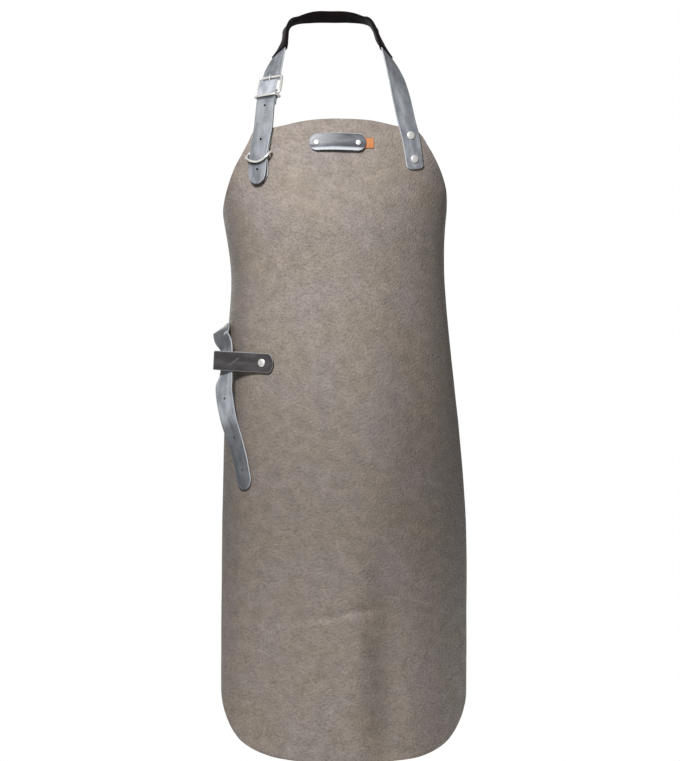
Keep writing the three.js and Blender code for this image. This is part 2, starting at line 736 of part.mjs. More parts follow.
// The label patch, bowed off the bib in its middle, and the tab under its right end
const labelRoute = [];
for (const part of [-1, -0.6, -0.2, 0.2, 0.6, 1]) {
  const bow = 1.2 * (1 - part * part);
  const lift = STRAP / 2 + GAP + bow + 0.85 * (1 + part);
  labelRoute.push(onFront(LABEL.x + (part * LABEL_LENGTH) / 2, LABEL.drop, lift));
}
const labelFrames = strapSamples(labelRoute, 8, LABEL_WIDTH / 2, LABEL_WIDTH / 2);
addPiece(
  "label_patch",
  cut(strapBody(labelFrames, LABEL_WIDTH, STRAP), [holes.label_rivet_left, holes.label_rivet_right]),
  COLOURS.grey,
);
const tabRoute = [TAB.inner, (TAB.inner + TAB.outer) / 2, TAB.outer].map((x) =>
  onFront(LABEL.x + x, LABEL.drop, TAB_THICKNESS / 2 + 0.5),
);
const tabFrames = strapFrames(sampleRoute(tabRoute, 5));
addPiece("label_tab", strapBody(tabFrames, TAB.height, TAB_THICKNESS), COLOURS.orange);

// The waist loop, folded round the tie and held by one rivet through both layers
const loopSeat = onFront(LOOP.x, LOOP.drop, 0);
const loopWay = loopSeat.face.clone().cross(new THREE.Vector3(0, 0, 1)).normalize();
loopWay.z += LOOP.rise;
loopWay.normalize();
const loopOut = loopSeat.face;
const atLoop = (along, lift, rise) =>
  loopSeat.at
    .clone()
    .addScaledVector(loopWay, along)
    .addScaledVector(loopOut, lift)
    .add(new THREE.Vector3(0, 0, rise));
const loopRoute = LOOP_ROUTE.map(({ along, out: lift }, index) => {
  const before = LOOP_ROUTE[Math.max(index - 1, 0)];
  const after = LOOP_ROUTE[Math.min(index + 1, LOOP_ROUTE.length - 1)];
  const face = loopOut
    .clone()
    .multiplyScalar(after.along - before.along)
    .addScaledVector(loopWay, before.out - after.out);
  return { at: atLoop(along, lift, 0), face: face.normalize() };
});
addPiece(
  "waist_loop",
  cut(strapBody(strapSamples(loopRoute, 12, 9, 4), STRAP_WIDTH, STRAP), [holes.waist_loop_rivet]),
  COLOURS.charcoal,
);

// The waist tie
const tieRoute = [];
for (const angle of TIE_SEAT.angles) {
  tieRoute.push(onHide(angle, TIE_SEAT.drop, STRAP / 2 + GAP + 0.4));
}
for (let angle = TIE_BACK.from; angle <= TIE_BACK.to; angle += TIE_BACK.step) {
  const part = (angle - TIE_BACK.from) / (TIE_BACK.to - TIE_BACK.from);
  const drop = TIE_BACK.drop - TIE_BACK.climb * part;
  const turn = radians(angle);
  const reach = lookup(FORM, "drop", "halfWidth", drop) + TIE_BACK.reach;
  const face = new THREE.Vector3(Math.sin(turn) / reach, -Math.cos(turn) / TIE_BACK.depth, 0).normalize();
  const at = new THREE.Vector3(
    lookup(FORM, "drop", "midX", drop) + reach * Math.sin(turn),
    lookup(FORM, "drop", "midY", drop) - TIE_BACK.depth * Math.cos(turn),
    -drop,
  );
  tieRoute.push({ at, face });
}
tieRoute.push(...runPlaces(TIE_TURN));
for (const rise of [TIE_IN_LOOP.above, 0, -TIE_IN_LOOP.below]) {
  tieRoute.push({ at: atLoop(TIE_IN_LOOP.along, TIE_IN_LOOP.out, rise), face: TIE_IN_LOOP.face });
}
tieRoute.push(...runPlaces(TIE_HANG));
const tieFine = strapFrames(sampleRoute(tieRoute, 0.5));
const tieFrames = strapSamples(tieRoute, 13, 7, 15);
const tieHoles = TIE_HOLES.map((drop) => punch(frameAtDrop(tieFine, drop, -1), HOLE_RADIUS, 3.4));
addPiece(
  "waist_tie",
  cut(strapBody(tieFrames, STRAP_WIDTH, STRAP), [holes.waist_tie_rivet, ...tieHoles]),
  COLOURS.grey,
);

for (const { name, place, size, stack } of rivets) {
  addPiece(name, rivetBody(size, stack), COLOURS.nickel, place);
}

export default group;
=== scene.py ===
"""A leather work apron, dressed for a studio picture: pebbled hide, waxed straps and nickel hardware."""

import logging
import math
from dataclasses import dataclass, field
from enum import Enum
from typing import Any, NamedTuple, Sequence

import bmesh
import bpy
import numpy as np
from bpy.types import Material, Node, NodeSocket, NodeTree, Object
from mathutils import Matrix, Vector, noise


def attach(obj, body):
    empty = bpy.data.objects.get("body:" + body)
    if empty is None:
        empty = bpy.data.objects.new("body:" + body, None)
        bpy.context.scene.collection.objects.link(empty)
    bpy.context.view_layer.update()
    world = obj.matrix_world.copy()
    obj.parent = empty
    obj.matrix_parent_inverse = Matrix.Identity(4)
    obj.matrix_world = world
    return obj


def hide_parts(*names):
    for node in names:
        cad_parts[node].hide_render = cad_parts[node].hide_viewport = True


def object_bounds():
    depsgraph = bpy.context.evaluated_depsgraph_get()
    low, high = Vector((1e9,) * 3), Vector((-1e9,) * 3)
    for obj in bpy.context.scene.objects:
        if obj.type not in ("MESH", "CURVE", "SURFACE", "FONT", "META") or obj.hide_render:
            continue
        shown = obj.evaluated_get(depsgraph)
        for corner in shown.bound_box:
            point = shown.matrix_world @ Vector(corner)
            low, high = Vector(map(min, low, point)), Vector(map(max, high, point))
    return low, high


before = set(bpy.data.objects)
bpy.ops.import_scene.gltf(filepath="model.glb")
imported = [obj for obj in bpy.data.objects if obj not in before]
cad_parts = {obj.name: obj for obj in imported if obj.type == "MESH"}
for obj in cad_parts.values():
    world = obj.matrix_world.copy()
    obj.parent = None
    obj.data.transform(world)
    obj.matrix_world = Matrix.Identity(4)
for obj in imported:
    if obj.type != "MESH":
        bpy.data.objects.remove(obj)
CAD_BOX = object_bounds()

Array = np.ndarray

LOG = logging.getLogger("apron")
BODY = "root"
UV_NAME = "surface"

# Driving sizes, in metres and degrees
HIDE = 0.0022
STRAP = 0.0022
STRAP_WIDTH = 0.027
GAP = 0.0004
WRAP = 118.0
HOLE_RADIUS = 0.0016

# The awl's cone: tip and mouth radius, depth, and how far its middle lies out of the strap's middle
PUNCH_TIP = 0.00006
PUNCH_MOUTH = 1.7 * HOLE_RADIUS
PUNCH_DEPTH = 0.0036
PUNCH_SHIFT = 0.00065

# Points closer than this are one, and the same for wires
WELD = 1e-7
WIRE_WELD = 1e-6

# Sides of a wire's section, and how far along its curve to look for its direction
WIRE_SIDES = 16
WIRE_REACH = 0.02


class Slot(Enum):
    """The record's material slots."""

    TAUPE = "taupe_leather"
    GREY = "grey_leather"
    CHARCOAL = "charcoal_leather"
    FELT = "black_felt"
    ORANGE = "orange_leather"
    WIRE = "nickel_wire"
    RIVET = "nickel_rivet"


class Place(NamedTuple):
    """A point and the way that the surface faces there."""

    at: Array
    face: Array


class FormRow(NamedTuple):
    """An ellipse of the body that the hide follows, at a drop below the nape."""

    drop: float
    mid_x: float
    mid_y: float
    half_width: float
    half_depth: float


class TopRow(NamedTuple):
    """The drop of the panel's upper edge, at an angle from the middle, on each side."""

    angle: float
    left: float
    right: float


class HemRow(NamedTuple):
    """The drop of the hem at an angle from the middle."""

    angle: float
    drop: float


class DentRow(NamedTuple):
    """A soft swell (depth over 0) or hollow; its lean is in degrees per 100 mm of drop."""

    angle: float
    lean: float
    drop: float
    width: float
    height: float
    depth: float


class RunRow(NamedTuple):
    """A place on a strap's free run, and the way it faces."""

    x: float
    y: float
    drop: float
    face_x: float
    face_y: float
    face_z: float


class SeatRow(NamedTuple):
    """A place of a strap's middle on the front of the panel, lifted off the hide."""

    x: float
    drop: float
    lift: float


class LampRow(NamedTuple):
    """A soft square light: its place, width and power."""

    name: str
    place: tuple[float, float, float]
    size: float
    power: float


class RivetRow(NamedTuple):
    """A rivet: its place, the leather that it holds in front of the hide, and its size."""

    name: str
    x: float
    drop: float
    stack: float
    small: bool


FORM = (
    FormRow(0.150, 0.0040, -0.068, 0.1960, 0.094),
    FormRow(0.220, 0.0050, -0.072, 0.1720, 0.106),
    FormRow(0.290, 0.0055, -0.078, 0.1580, 0.115),
    FormRow(0.372, 0.0098, -0.077, 0.1512, 0.111),
    FormRow(0.473, 0.0112, -0.074, 0.1582, 0.112),
    FormRow(0.591, 0.0154, -0.072, 0.1666, 0.116),
    FormRow(0.725, 0.0189, -0.072, 0.1730, 0.119),
    FormRow(0.885, 0.0185, -0.072, 0.1740, 0.120),
    FormRow(1.060, 0.0185, -0.072, 0.1740, 0.120),
)

TOP_EDGE = (
    TopRow(0, 0.1554, 0.1554),
    TopRow(8, 0.1570, 0.1560),
    TopRow(15, 0.1604, 0.1576),
    TopRow(21, 0.1646, 0.1610),
    TopRow(28, 0.1684, 0.1656),
    TopRow(36, 0.1710, 0.1680),
    TopRow(41, 0.1870, 0.1770),
    TopRow(47, 0.2040, 0.1925),
    TopRow(54, 0.2205, 0.2090),
    TopRow(61, 0.2380, 0.2250),
    TopRow(68, 0.2545, 0.2400),
    TopRow(76, 0.2710, 0.2565),
    TopRow(84, 0.2845, 0.2760),
    TopRow(92, 0.2970, 0.2940),
    TopRow(104, 0.3170, 0.3160),
    TopRow(118, 0.3400, 0.3400),
)

HEM = (
    HemRow(0, 1.0535),
    HemRow(17, 1.0526),
    HemRow(26, 1.0502),
    HemRow(35, 1.0470),
    HemRow(43, 1.0416),
    HemRow(49, 1.0360),
    HemRow(56, 1.0276),
    HemRow(61, 1.0190),
    HemRow(65, 1.0112),
    HemRow(69, 1.0026),
    HemRow(73, 0.9940),
    HemRow(77, 0.9850),
    HemRow(82, 0.9740),
    HemRow(90, 0.9550),
    HemRow(104, 0.9200),
    HemRow(118, 0.8850),
)

DENTS = (
    DentRow(8, 0, 0.225, 15, 0.050, -0.0050),
    DentRow(6, 0.5, 0.950, 8, 0.140, 0.0035),
    DentRow(17, 0.5, 0.950, 8, 0.150, -0.0055),
    DentRow(35, 0, 1.040, 12, 0.200, 0.0030),
    DentRow(11, 0, 0.845, 10, 0.012, -0.0015),
    DentRow(-38, 0, 1.060, 16, 0.220, -0.0030),
)

# The lap's crease: place across, drop below the nape, and how deep it is there
LAP_CREASE = (
    (-0.090, 0.8630, 0.0),
    (-0.022, 0.8547, 0.7),
    (0.0125, 0.8480, 1.0),
    (0.0274, 0.8435, 1.0),
    (0.0644, 0.8399, 0.6),
    (0.0800, 0.8390, 0.0),
)

NECK_SEAT = (
    SeatRow(0.1178, 0.2265, 0.0029),
    SeatRow(0.1170, 0.2200, 0.00148),
    SeatRow(0.1146, 0.2020, 0.0015),
    SeatRow(0.1112, 0.1800, 0.0015),
    SeatRow(0.1066, 0.1630, 0.0015),
)
NECK_RUN = (
    RunRow(0.1000, -0.1405, 0.1300, 0.25, -0.90, 0.35),
    RunRow(0.0934, -0.1240, 0.1010, 0.45, -0.75, 0.50),
    RunRow(0.0863, -0.1070, 0.0780, 0.65, -0.50, 0.57),
    RunRow(0.0800, -0.0920, 0.0616, 0.80, -0.30, 0.53),
    RunRow(0.0728, -0.0750, 0.0450, 0.90, -0.10, 0.42),
    RunRow(0.0646, -0.0540, 0.0280, 0.95, 0.00, 0.30),
    RunRow(0.0610, -0.0380, 0.0180, 0.90, 0.00, 0.43),
    RunRow(0.0555, -0.0200, 0.0098, 0.63, 0.00, 0.77),
    RunRow(0.0430, -0.0070, 0.0024, 0.30, 0.17, 0.94),
    RunRow(0.0240, -0.0005, -0.0010, 0.10, 0.32, 0.94),
    RunRow(0.0000, 0.0018, -0.0016, 0.00, 0.34, 0.94),
    RunRow(-0.0240, -0.0005, -0.0010, -0.10, 0.32, 0.94),
    RunRow(-0.0430, -0.0070, 0.0024, -0.30, 0.17, 0.94),
    RunRow(-0.0560, -0.0200, 0.0098, -0.63, 0.00, 0.77),
    RunRow(-0.0620, -0.0380, 0.0190, -0.90, 0.00, 0.43),
    RunRow(-0.0646, -0.0560, 0.0310, -0.95, 0.00, 0.30),
    RunRow(-0.0686, -0.0750, 0.0460, -0.88, -0.20, 0.42),
    RunRow(-0.0736, -0.0930, 0.0616, -0.72, -0.42, 0.55),
)
# Along the strap from the buckle's rear bar, and out from the bars
BUCKLE_RUN = (
    (0.0410, -0.0036),
    (0.0340, -0.0037),
    (0.0295, -0.0036),
    (0.0258, -0.0014),
    (0.0226, 0.0020),
    (0.0186, 0.0046),
    (0.0120, 0.0058),
    (0.0040, 0.0060),
    (-0.0020, 0.0060),
    (-0.0080, 0.0061),
    (-0.0180, 0.0057),
    (-0.0260, 0.0056),
)
SHORT_FRONT = ((-0.026, 0.0015), (-0.014, 0.0016), (-0.006, 0.0029))
SHORT_BACK = ((-0.006, -0.0029), (-0.014, -0.0016), (-0.024, -0.0015))
PRONG_RUN = ((0.0054, 0.001), (0.008, 0.0012), (0.033, 0.0039))
TIP_SEAT = (
    SeatRow(-0.0922, 0.1660, 0.0068),
    SeatRow(-0.0949, 0.1840, 0.0070),
    SeatRow(-0.0972, 0.2030, 0.0086),
    SeatRow(-0.0986, 0.2260, 0.0080),
    SeatRow(-0.0996, 0.2485, 0.0090),
)
TIP_HOLES = (0.1372, 0.1844, 0.2268)
SHORT_SEAT = (
    SeatRow(-0.0992, 0.2430, 0.0016),
    SeatRow(-0.0987, 0.2320, 0.0016),
    SeatRow(-0.0983, 0.2240, 0.0017),
    SeatRow(-0.0977, 0.2130, 0.0050),
    SeatRow(-0.0970, 0.2030, 0.0057),
    SeatRow(-0.0960, 0.1940, 0.0050),
    SeatRow(-0.0951, 0.1850, 0.0018),
    SeatRow(-0.0944, 0.1770, 0.0016),
    SeatRow(-0.0928, 0.1650, 0.0017),
)
RIVETS = (
    RivetRow("neck_rivet_upper", 0.1111, 0.179, 0.00285, False),
    RivetRow("neck_rivet_lower", 0.1160, 0.212, 0.00285, False),
    RivetRow("buckle_strap_rivet_upper", -0.0944, 0.177, 0.0029, False),
    RivetRow("buckle_strap_rivet_lower", -0.0987, 0.232, 0.0029, False),
    RivetRow("label_rivet_left", -0.0194, 0.190, 0.0034, True),
    RivetRow("label_rivet_right", 0.0386, 0.190, 0.0048, True),
    RivetRow("waist_loop_rivet", -0.0935, 0.497, 0.0053, False),
)
TIE_RIVET_ANGLE = 108.0
TIE_RIVET = RivetRow("waist_tie_rivet", 0.0, 0.498, 0.0033, False)

# Across the strap, out from the bib, and down
RING_ROUTE = (
    (-0.0120, 0.0022, 0.0000),
    (0.0000, 0.0022, 0.0000),
    (0.0120, 0.0022, 0.0000),
    (0.0162, 0.0036, 0.0000),
    (0.0173, 0.0080, 0.0006),
    (0.0130, 0.0129, 0.0070),
    (0.0060, 0.0138, 0.0124),
    (-0.0020, 0.0139, 0.0148),
    (-0.0126, 0.0134, 0.0128),
    (-0.0184, 0.0084, 0.0074),
    (-0.0168, 0.0036, 0.0020),
)
# Along the loop strap to the left of its rivet, and out from the panel
LOOP_ROUTE = (
    (-0.0180, 0.00405),
    (-0.0080, 0.00405),
    (0.0080, 0.0041),
    (0.0220, 0.0052),
    (0.0380, 0.0072),
    (0.0560, 0.0086),
    (0.0710, 0.0088),
    (0.0784, 0.0066),
    (0.0809, 0.0004),
    (0.0784, -0.0058),
    (0.0710, -0.0080),
    (0.0580, -0.0074),
    (0.0420, -0.0036),
    (0.0280, -0.0004),
    (0.0080, 0.00145),
    (-0.0100, 0.00145),
)
TIE_TURN = (
    RunRow(-0.1515, -0.0600, 0.4540, -0.93, 0.05, 0.36),
    RunRow(-0.1560, -0.0840, 0.4500, -0.72, 0.00, 0.69),
    RunRow(-0.1545, -0.1020, 0.4500, -0.52, -0.38, 0.76),
    RunRow(-0.1538, -0.1125, 0.4600, -0.66, -0.67, 0.34),
)
TIE_HANG = (
    RunRow(-0.1500, -0.1306, 0.5310, -0.50, -0.86, 0.06),
    RunRow(-0.1488, -0.1304, 0.5470, -0.48, -0.87, 0.08),
    RunRow(-0.1425, -0.1310, 0.5800, -0.56, -0.83, 0.05),
    RunRow(-0.1346, -0.1338, 0.6040, -0.64, -0.77, 0.00),
    RunRow(-0.1264, -0.1405, 0.6340, -0.66, -0.75, -0.03),
    RunRow(-0.1216, -0.1448, 0.6610, -0.66, -0.75, -0.03),
    RunRow(-0.1196, -0.1466, 0.6740, -0.66, -0.75, -0.03),
)
TIE_HOLES = (0.547, 0.602, 0.647)

# How much a strap is darkened by the length from its free end, paled where below 0: painted shade and
# painted highlight where light falls on it, with its own tone
# The tie: painted shade above the loop, a painted highlight just below it, and darker on its lower part
TIE_TONE_AND_LIGHT = ((0.09, 0.4), (0.106, -0.42), (0.196, -0.42), (0.206, 0.52), (0.26, 0.52), (0.3, 0.0))
# The neck strap: a strong painted highlight near the buckle, and lighter near its tip and towards its
# riveted end
NECK_TONE_AND_LIGHT = (
    (0.0, -0.05),
    (0.05, -0.14),
    (0.126, -0.1),
    (0.134, -0.95),
    (0.158, -0.95),
    (0.166, 0.0),
    (0.6, 0.0),
    (0.66, -0.25),
)


LAMPS = (
    LampRow("key", (-0.52, -1.90, 0.74), 0.42, 58.0),
    LampRow("rim", (1.45, 0.85, -1.3), 0.9, 8.0),
    LampRow("back", (-1.1, 1.8, 0.2), 0.9, 22.0),
)


# Curves and surfaces


def vec(*numbers: float) -> Array:
    """A vector as an array."""
    return np.array(numbers, float)


def unit(vectors: Array) -> Array:
    """Vectors of length 1, along the last axis."""
    return vectors / np.linalg.norm(vectors, axis=-1, keepdims=True)


def ease(part: Array) -> Array:
    """A soft rise from 0 to 1."""
    return part * part * (3 - 2 * part)


def fade(value: Array, start: float, end: float) -> Array:
    """A straight rise from 0 at the start to 1 at the end, level outside them.

    Args:
        value: the numbers to judge.
        start: where the rise starts.
        end: where it ends, which may lie below the start.

    Returns:
        Numbers from 0 to 1.
    """
    return np.clip((value - start) / (end - start), 0, 1)


def bell(away: Array) -> Array:
    """A soft hump: 1 in its middle, falling off on both sides."""
    return np.exp(-away * away)


def summed(points: Array) -> Array:
    """The length gone at each point of a line."""
    return np.concatenate([[0.0], np.cumsum(np.linalg.norm(np.diff(points, axis=0), axis=1))])


def smooth_column(table: Sequence[NamedTuple], key: str, column: str, at: Array) -> Array:
    """A table's column at places along its key, smooth through the rows.

    Args:
        table: rows in rising order of the key.
        key: the name of the key's field.
        column: the name of the field that is wanted.
        at: the places along the key.

    Returns:
        The column's values at those places.
    """
    keys = np.array([getattr(row, key) for row in table], float)
    values = np.array([getattr(row, column) for row in table], float)
    index = np.arange(len(keys))
    low, high = np.maximum(index - 1, 0), np.minimum(index + 1, len(keys) - 1)
    slopes = (values[high] - values[low]) / (keys[high] - keys[low])
    row = np.searchsorted(keys[1:-1], at, side="left")
    span = keys[row + 1] - keys[row]
    part = (at - keys[row]) / span
    leave, arrive = slopes[row] * span, slopes[row + 1] * span
    rise = (values[row + 1] - values[row]) * ease(part)
    return values[row] + rise + leave * part * (1 - part) ** 2 - arrive * part * part * (1 - part)


class Spline:
    """A centripetal Catmull-Rom curve through points."""

    def __init__(self, points: Array, closed: bool = False) -> None:
        """Works out the cubic of each span.

        Args:
            points: the points, one a row.
            closed: whether the curve comes back to its start.
        """
        count = len(points)
        if closed:
            ring = np.concatenate([points[-1:], points, points[:2]])
        else:
            ring = np.concatenate([[2 * points[0] - points[1]], points, [2 * points[-1] - points[-2]]])
        p0, p1, p2, p3 = (ring[shift : shift + len(ring) - 3] for shift in range(4))
        dt0, dt1, dt2 = (
            np.sqrt(np.linalg.norm(b - a, axis=1, keepdims=True)) for a, b in ((p0, p1), (p1, p2), (p2, p3))
        )
        dt1 = np.where(dt1 < 1e-4, 1.0, dt1)
        dt0 = np.where(dt0 < 1e-4, dt1, dt0)
        dt2 = np.where(dt2 < 1e-4, dt1, dt2)
        leave = ((p1 - p0) / dt0 - (p2 - p0) / (dt0 + dt1) + (p2 - p1) / dt1) * dt1
        arrive = ((p2 - p1) / dt1 - (p3 - p1) / (dt1 + dt2) + (p3 - p2) / dt2) * dt1
        self.spans = count if closed else count - 1
        self.cubic = (p1, leave, 3 * (p2 - p1) - 2 * leave - arrive, 2 * (p1 - p2) + leave + arrive)

    def points(self, at: Array) -> Array:
        """Points at places from 0 to the number of spans."""
        span = np.clip(np.floor(at).astype(int), 0, self.spans - 1)
        part = (at - span)[:, None]
        c0, c1, c2, c3 = (term[span] for term in self.cubic)
        return c0 + part * (c1 + part * (c2 + part * c3))


class Route:
    """A strap's middle line by its length, with the way that the strap faces."""

    STEPS = 160
    REACH = 0.0003
    SEARCH_STEP = 0.0005

    def __init__(self, places: Sequence[Place]) -> None:
        """Fits the line and the facing through places."""
        self.line = Spline(np.array([place.at for place in places]))
        self.faces = Spline(np.array([place.face for place in places]))
        self.knots = np.linspace(0, self.line.spans, self.line.spans * self.STEPS + 1)
        self.gone = summed(self.line.points(self.knots))
        self.length = float(self.gone[-1])

    def frames(self, at: Array) -> tuple[Array, Array, Array, Array]:
        """The strap's own directions at lengths from its start.

        Args:
            at: the lengths.

        Returns:
            The points, and the ways along the strap, across it and out of it.
        """
        points = self.points(at)
        way = unit(self.points(at + self.REACH) - self.points(at - self.REACH))
        faces = self.faces.points(np.interp(at, self.gone, self.knots))
        across = unit(np.cross(way, faces))
        return points, way, across, unit(np.cross(across, way))

    def points(self, at: Array) -> Array:
        """Points at lengths from the start, kept on the strap."""
        inside = np.clip(at, 0, self.length)
        return self.line.points(np.interp(inside, self.gone, self.knots))

    def at_drop(self, drop: float, side: int) -> Place:
        """The place nearest to a drop, on the left (-1) or the right (1) of the apron."""
        at = np.arange(0, self.length, self.SEARCH_STEP)
        points, _, _, faces = self.frames(at)
        miss = np.abs(points[:, 2] + drop) + np.where(points[:, 0] * side > 0, 0.0, 1.0)
        best = int(np.argmin(miss))
        return Place(points[best], faces[best])


class Hide:
    """The form that the panel's leather takes, which all pieces on it are laid on."""

    TURN_REACH = 0.5
    DROP_REACH = 0.0015

    def form(self, angle: Array, drop: Array) -> Array:
        """Points of the plain body form at angles and drops."""
        turn = np.radians(angle)
        mid_x, mid_y, half_width, half_depth = (
            smooth_column(FORM, "drop", name, drop) for name in FormRow._fields[1:]
        )
        return np.stack([mid_x + half_width * np.sin(turn), mid_y - half_depth * np.cos(turn), -drop], -1)

    def dents(self, angle: Array, drop: Array) -> Array:
        """How far the dents push the hide out."""
        depth = np.zeros_like(angle)
        for dent in DENTS:
            middle = dent.angle + dent.lean * (drop - dent.drop) / 0.1
            down = (drop - dent.drop) / dent.height
            depth += dent.depth * bell((angle - middle) / dent.width) * bell(down)
        return depth

    def facing(self, points: Any, angle: Array, drop: Array) -> Array:
        """Directions square to the surface that a point function draws."""
        turn, step = self.TURN_REACH, self.DROP_REACH
        across = points(angle + turn, drop) - points(angle - turn, drop)
        up = points(angle, drop - step) - points(angle, drop + step)
        return unit(np.cross(across, up))

    def outer(self, angle: Array, drop: Array) -> Array:
        """Points of the hide's outer face."""
        face = self.facing(self.form, angle, drop)
        return self.form(angle, drop) + face * self.dents(angle, drop)[..., None]

    def place(self, angle: float, drop: float, lift: float = 0.0) -> Place:
        """A place at an angle and a drop, lifted off the outer face."""
        angles, drops = vec(angle), vec(drop)
        face = self.facing(self.outer, angles, drops)[0]
        return Place(self.outer(angles, drops)[0] + face * lift, face)

    def front(self, x: float, drop: float, lift: float = 0.0) -> Place:
        """The same place found by its x on the front of the apron."""
        middle = smooth_column(FORM, "drop", "mid_x", vec(drop))[0]
        half = smooth_column(FORM, "drop", "half_width", vec(drop))[0]
        return self.place(math.degrees(math.asin((x - middle) / half)), drop, lift)


def run_places(rows: Sequence[RunRow]) -> list[Place]:
    """The places of a strap's free run."""
    return [Place(vec(row.x, row.y, -row.drop), vec(row.face_x, row.face_y, row.face_z)) for row in rows]


# Meshes


def grid_mesh(points: Array, uv: Array, channels: dict[str, Array]) -> bmesh.types.BMesh:
    """A grid of faces moved onto points, with its UV map and its named channels on the corners.

    Args:
        points: rows and columns of points.
        uv: the map's places, in metres, one for each point.
        channels: numbers from 0 to 1 for each point, by name.

    Returns:
        The mesh, whose vertices keep their number in a layer named station.
    """
    rows, columns = points.shape[:2]
    mesh = bmesh.new()
    bmesh.ops.create_grid(mesh, x_segments=columns - 1, y_segments=rows - 1, size=1.0)
    station = mesh.verts.layers.int.new("station")
    flat = points.reshape(-1, 3)
    for vert in mesh.verts:
        column = round((vert.co.x + 1) / 2 * (columns - 1))
        row = round((1 - vert.co.y) / 2 * (rows - 1))
        vert[station] = row * columns + column
        vert.co = flat[vert[station]]
    uv_layer = mesh.loops.layers.uv.new(UV_NAME)
    layers = {name: mesh.loops.layers.float.new(name) for name in channels}
    flat_uv = uv.reshape(-1, 2).tolist()
    flat_channels = [(layers[name], values.reshape(-1).tolist()) for name, values in channels.items()]
    for face in mesh.faces:
        face.smooth = True
        for loop in face.loops:
            index = loop.vert[station]
            loop[uv_layer].uv = flat_uv[index]
            for layer, values in flat_channels:
                loop[layer] = values[index]
    return mesh


def finish_piece(mesh: bmesh.types.BMesh, name: str, material: Material) -> Object:
    """Turns a bmesh into an object at the origin with one material."""
    data = bpy.data.meshes.new(name)
    mesh.to_mesh(data)
    mesh.free()
    station = data.attributes.get("station")
    if station:
        data.attributes.remove(station)
    data.materials.append(material)
    piece = bpy.data.objects.new(name, data)
    bpy.context.scene.collection.objects.link(piece)
    return piece


def close_piece(mesh: bmesh.types.BMesh, name: str, material: Material, weld: float = WELD) -> Object:
    """Welds a mesh's seams, closes its open ends, faces it outwards and makes it a piece.

    Args:
        mesh: the piece's faces.
        name: of the piece.
        material: its finish.
        weld: points closer than this become one.

    Returns:
        The piece's object.
    """
    bmesh.ops.remove_doubles(mesh, verts=mesh.verts[:], dist=weld)
    rims = [edge for edge in mesh.edges if edge.is_boundary]
    if rims:
        bmesh.ops.holes_fill(mesh, edges=rims, sides=0)
    bmesh.ops.recalc_face_normals(mesh, faces=mesh.faces[:])
    return finish_piece(mesh, name, material)


def adopt(piece: Object, node: str) -> Object:
    """Lets a piece stand for its CAD node, on the one body."""
    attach(piece, BODY)
    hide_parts(node)
    LOG.info("%s stands for %s, %d faces", piece.name, node, len(piece.data.polygons))
    return piece


def place_matrix(place: Place) -> Matrix:
    """The turn and move that take +Z to the way a place faces."""
    turn = Vector(place.face).to_track_quat("Z", "Y").to_matrix().to_4x4()
    return Matrix.Translation(Vector(place.at)) @ turn


def punch(piece: Object, places: Sequence[Place], dark: Material) -> None:
    """Cuts holes that taper towards the back through a strap, as an awl leaves them.

    Args:
        piece: the strap to cut.
        places: the middle of each hole and the way it goes.
        dark: the finish of the holes' walls.
    """
    mesh = bmesh.new()
    for place in places:
        bmesh.ops.create_cone(
            mesh,
            cap_ends=True,
            segments=28,
            radius1=PUNCH_TIP,
            radius2=PUNCH_MOUTH,
            depth=PUNCH_DEPTH,
            matrix=place_matrix(place) @ Matrix.Translation((0.0, 0.0, PUNCH_SHIFT)),
        )
    cutter = finish_piece(mesh, "punch", dark)
    modifier = piece.modifiers.new("punch", "BOOLEAN")
    modifier.object = cutter
    modifier.solver = "EXACT"
    modifier.material_mode = "TRANSFER"
    graph = bpy.context.evaluated_depsgraph_get()
    cut = bpy.data.meshes.new_from_object(
        piece.evaluated_get(graph), preserve_all_data_layers=True, depsgraph=graph
    )
    piece.modifiers.clear()
    old, piece.data = piece.data, cut
    cut.name = piece.name
    bpy.data.meshes.remove(old)
    bpy.data.meshes.remove(cutter.data)


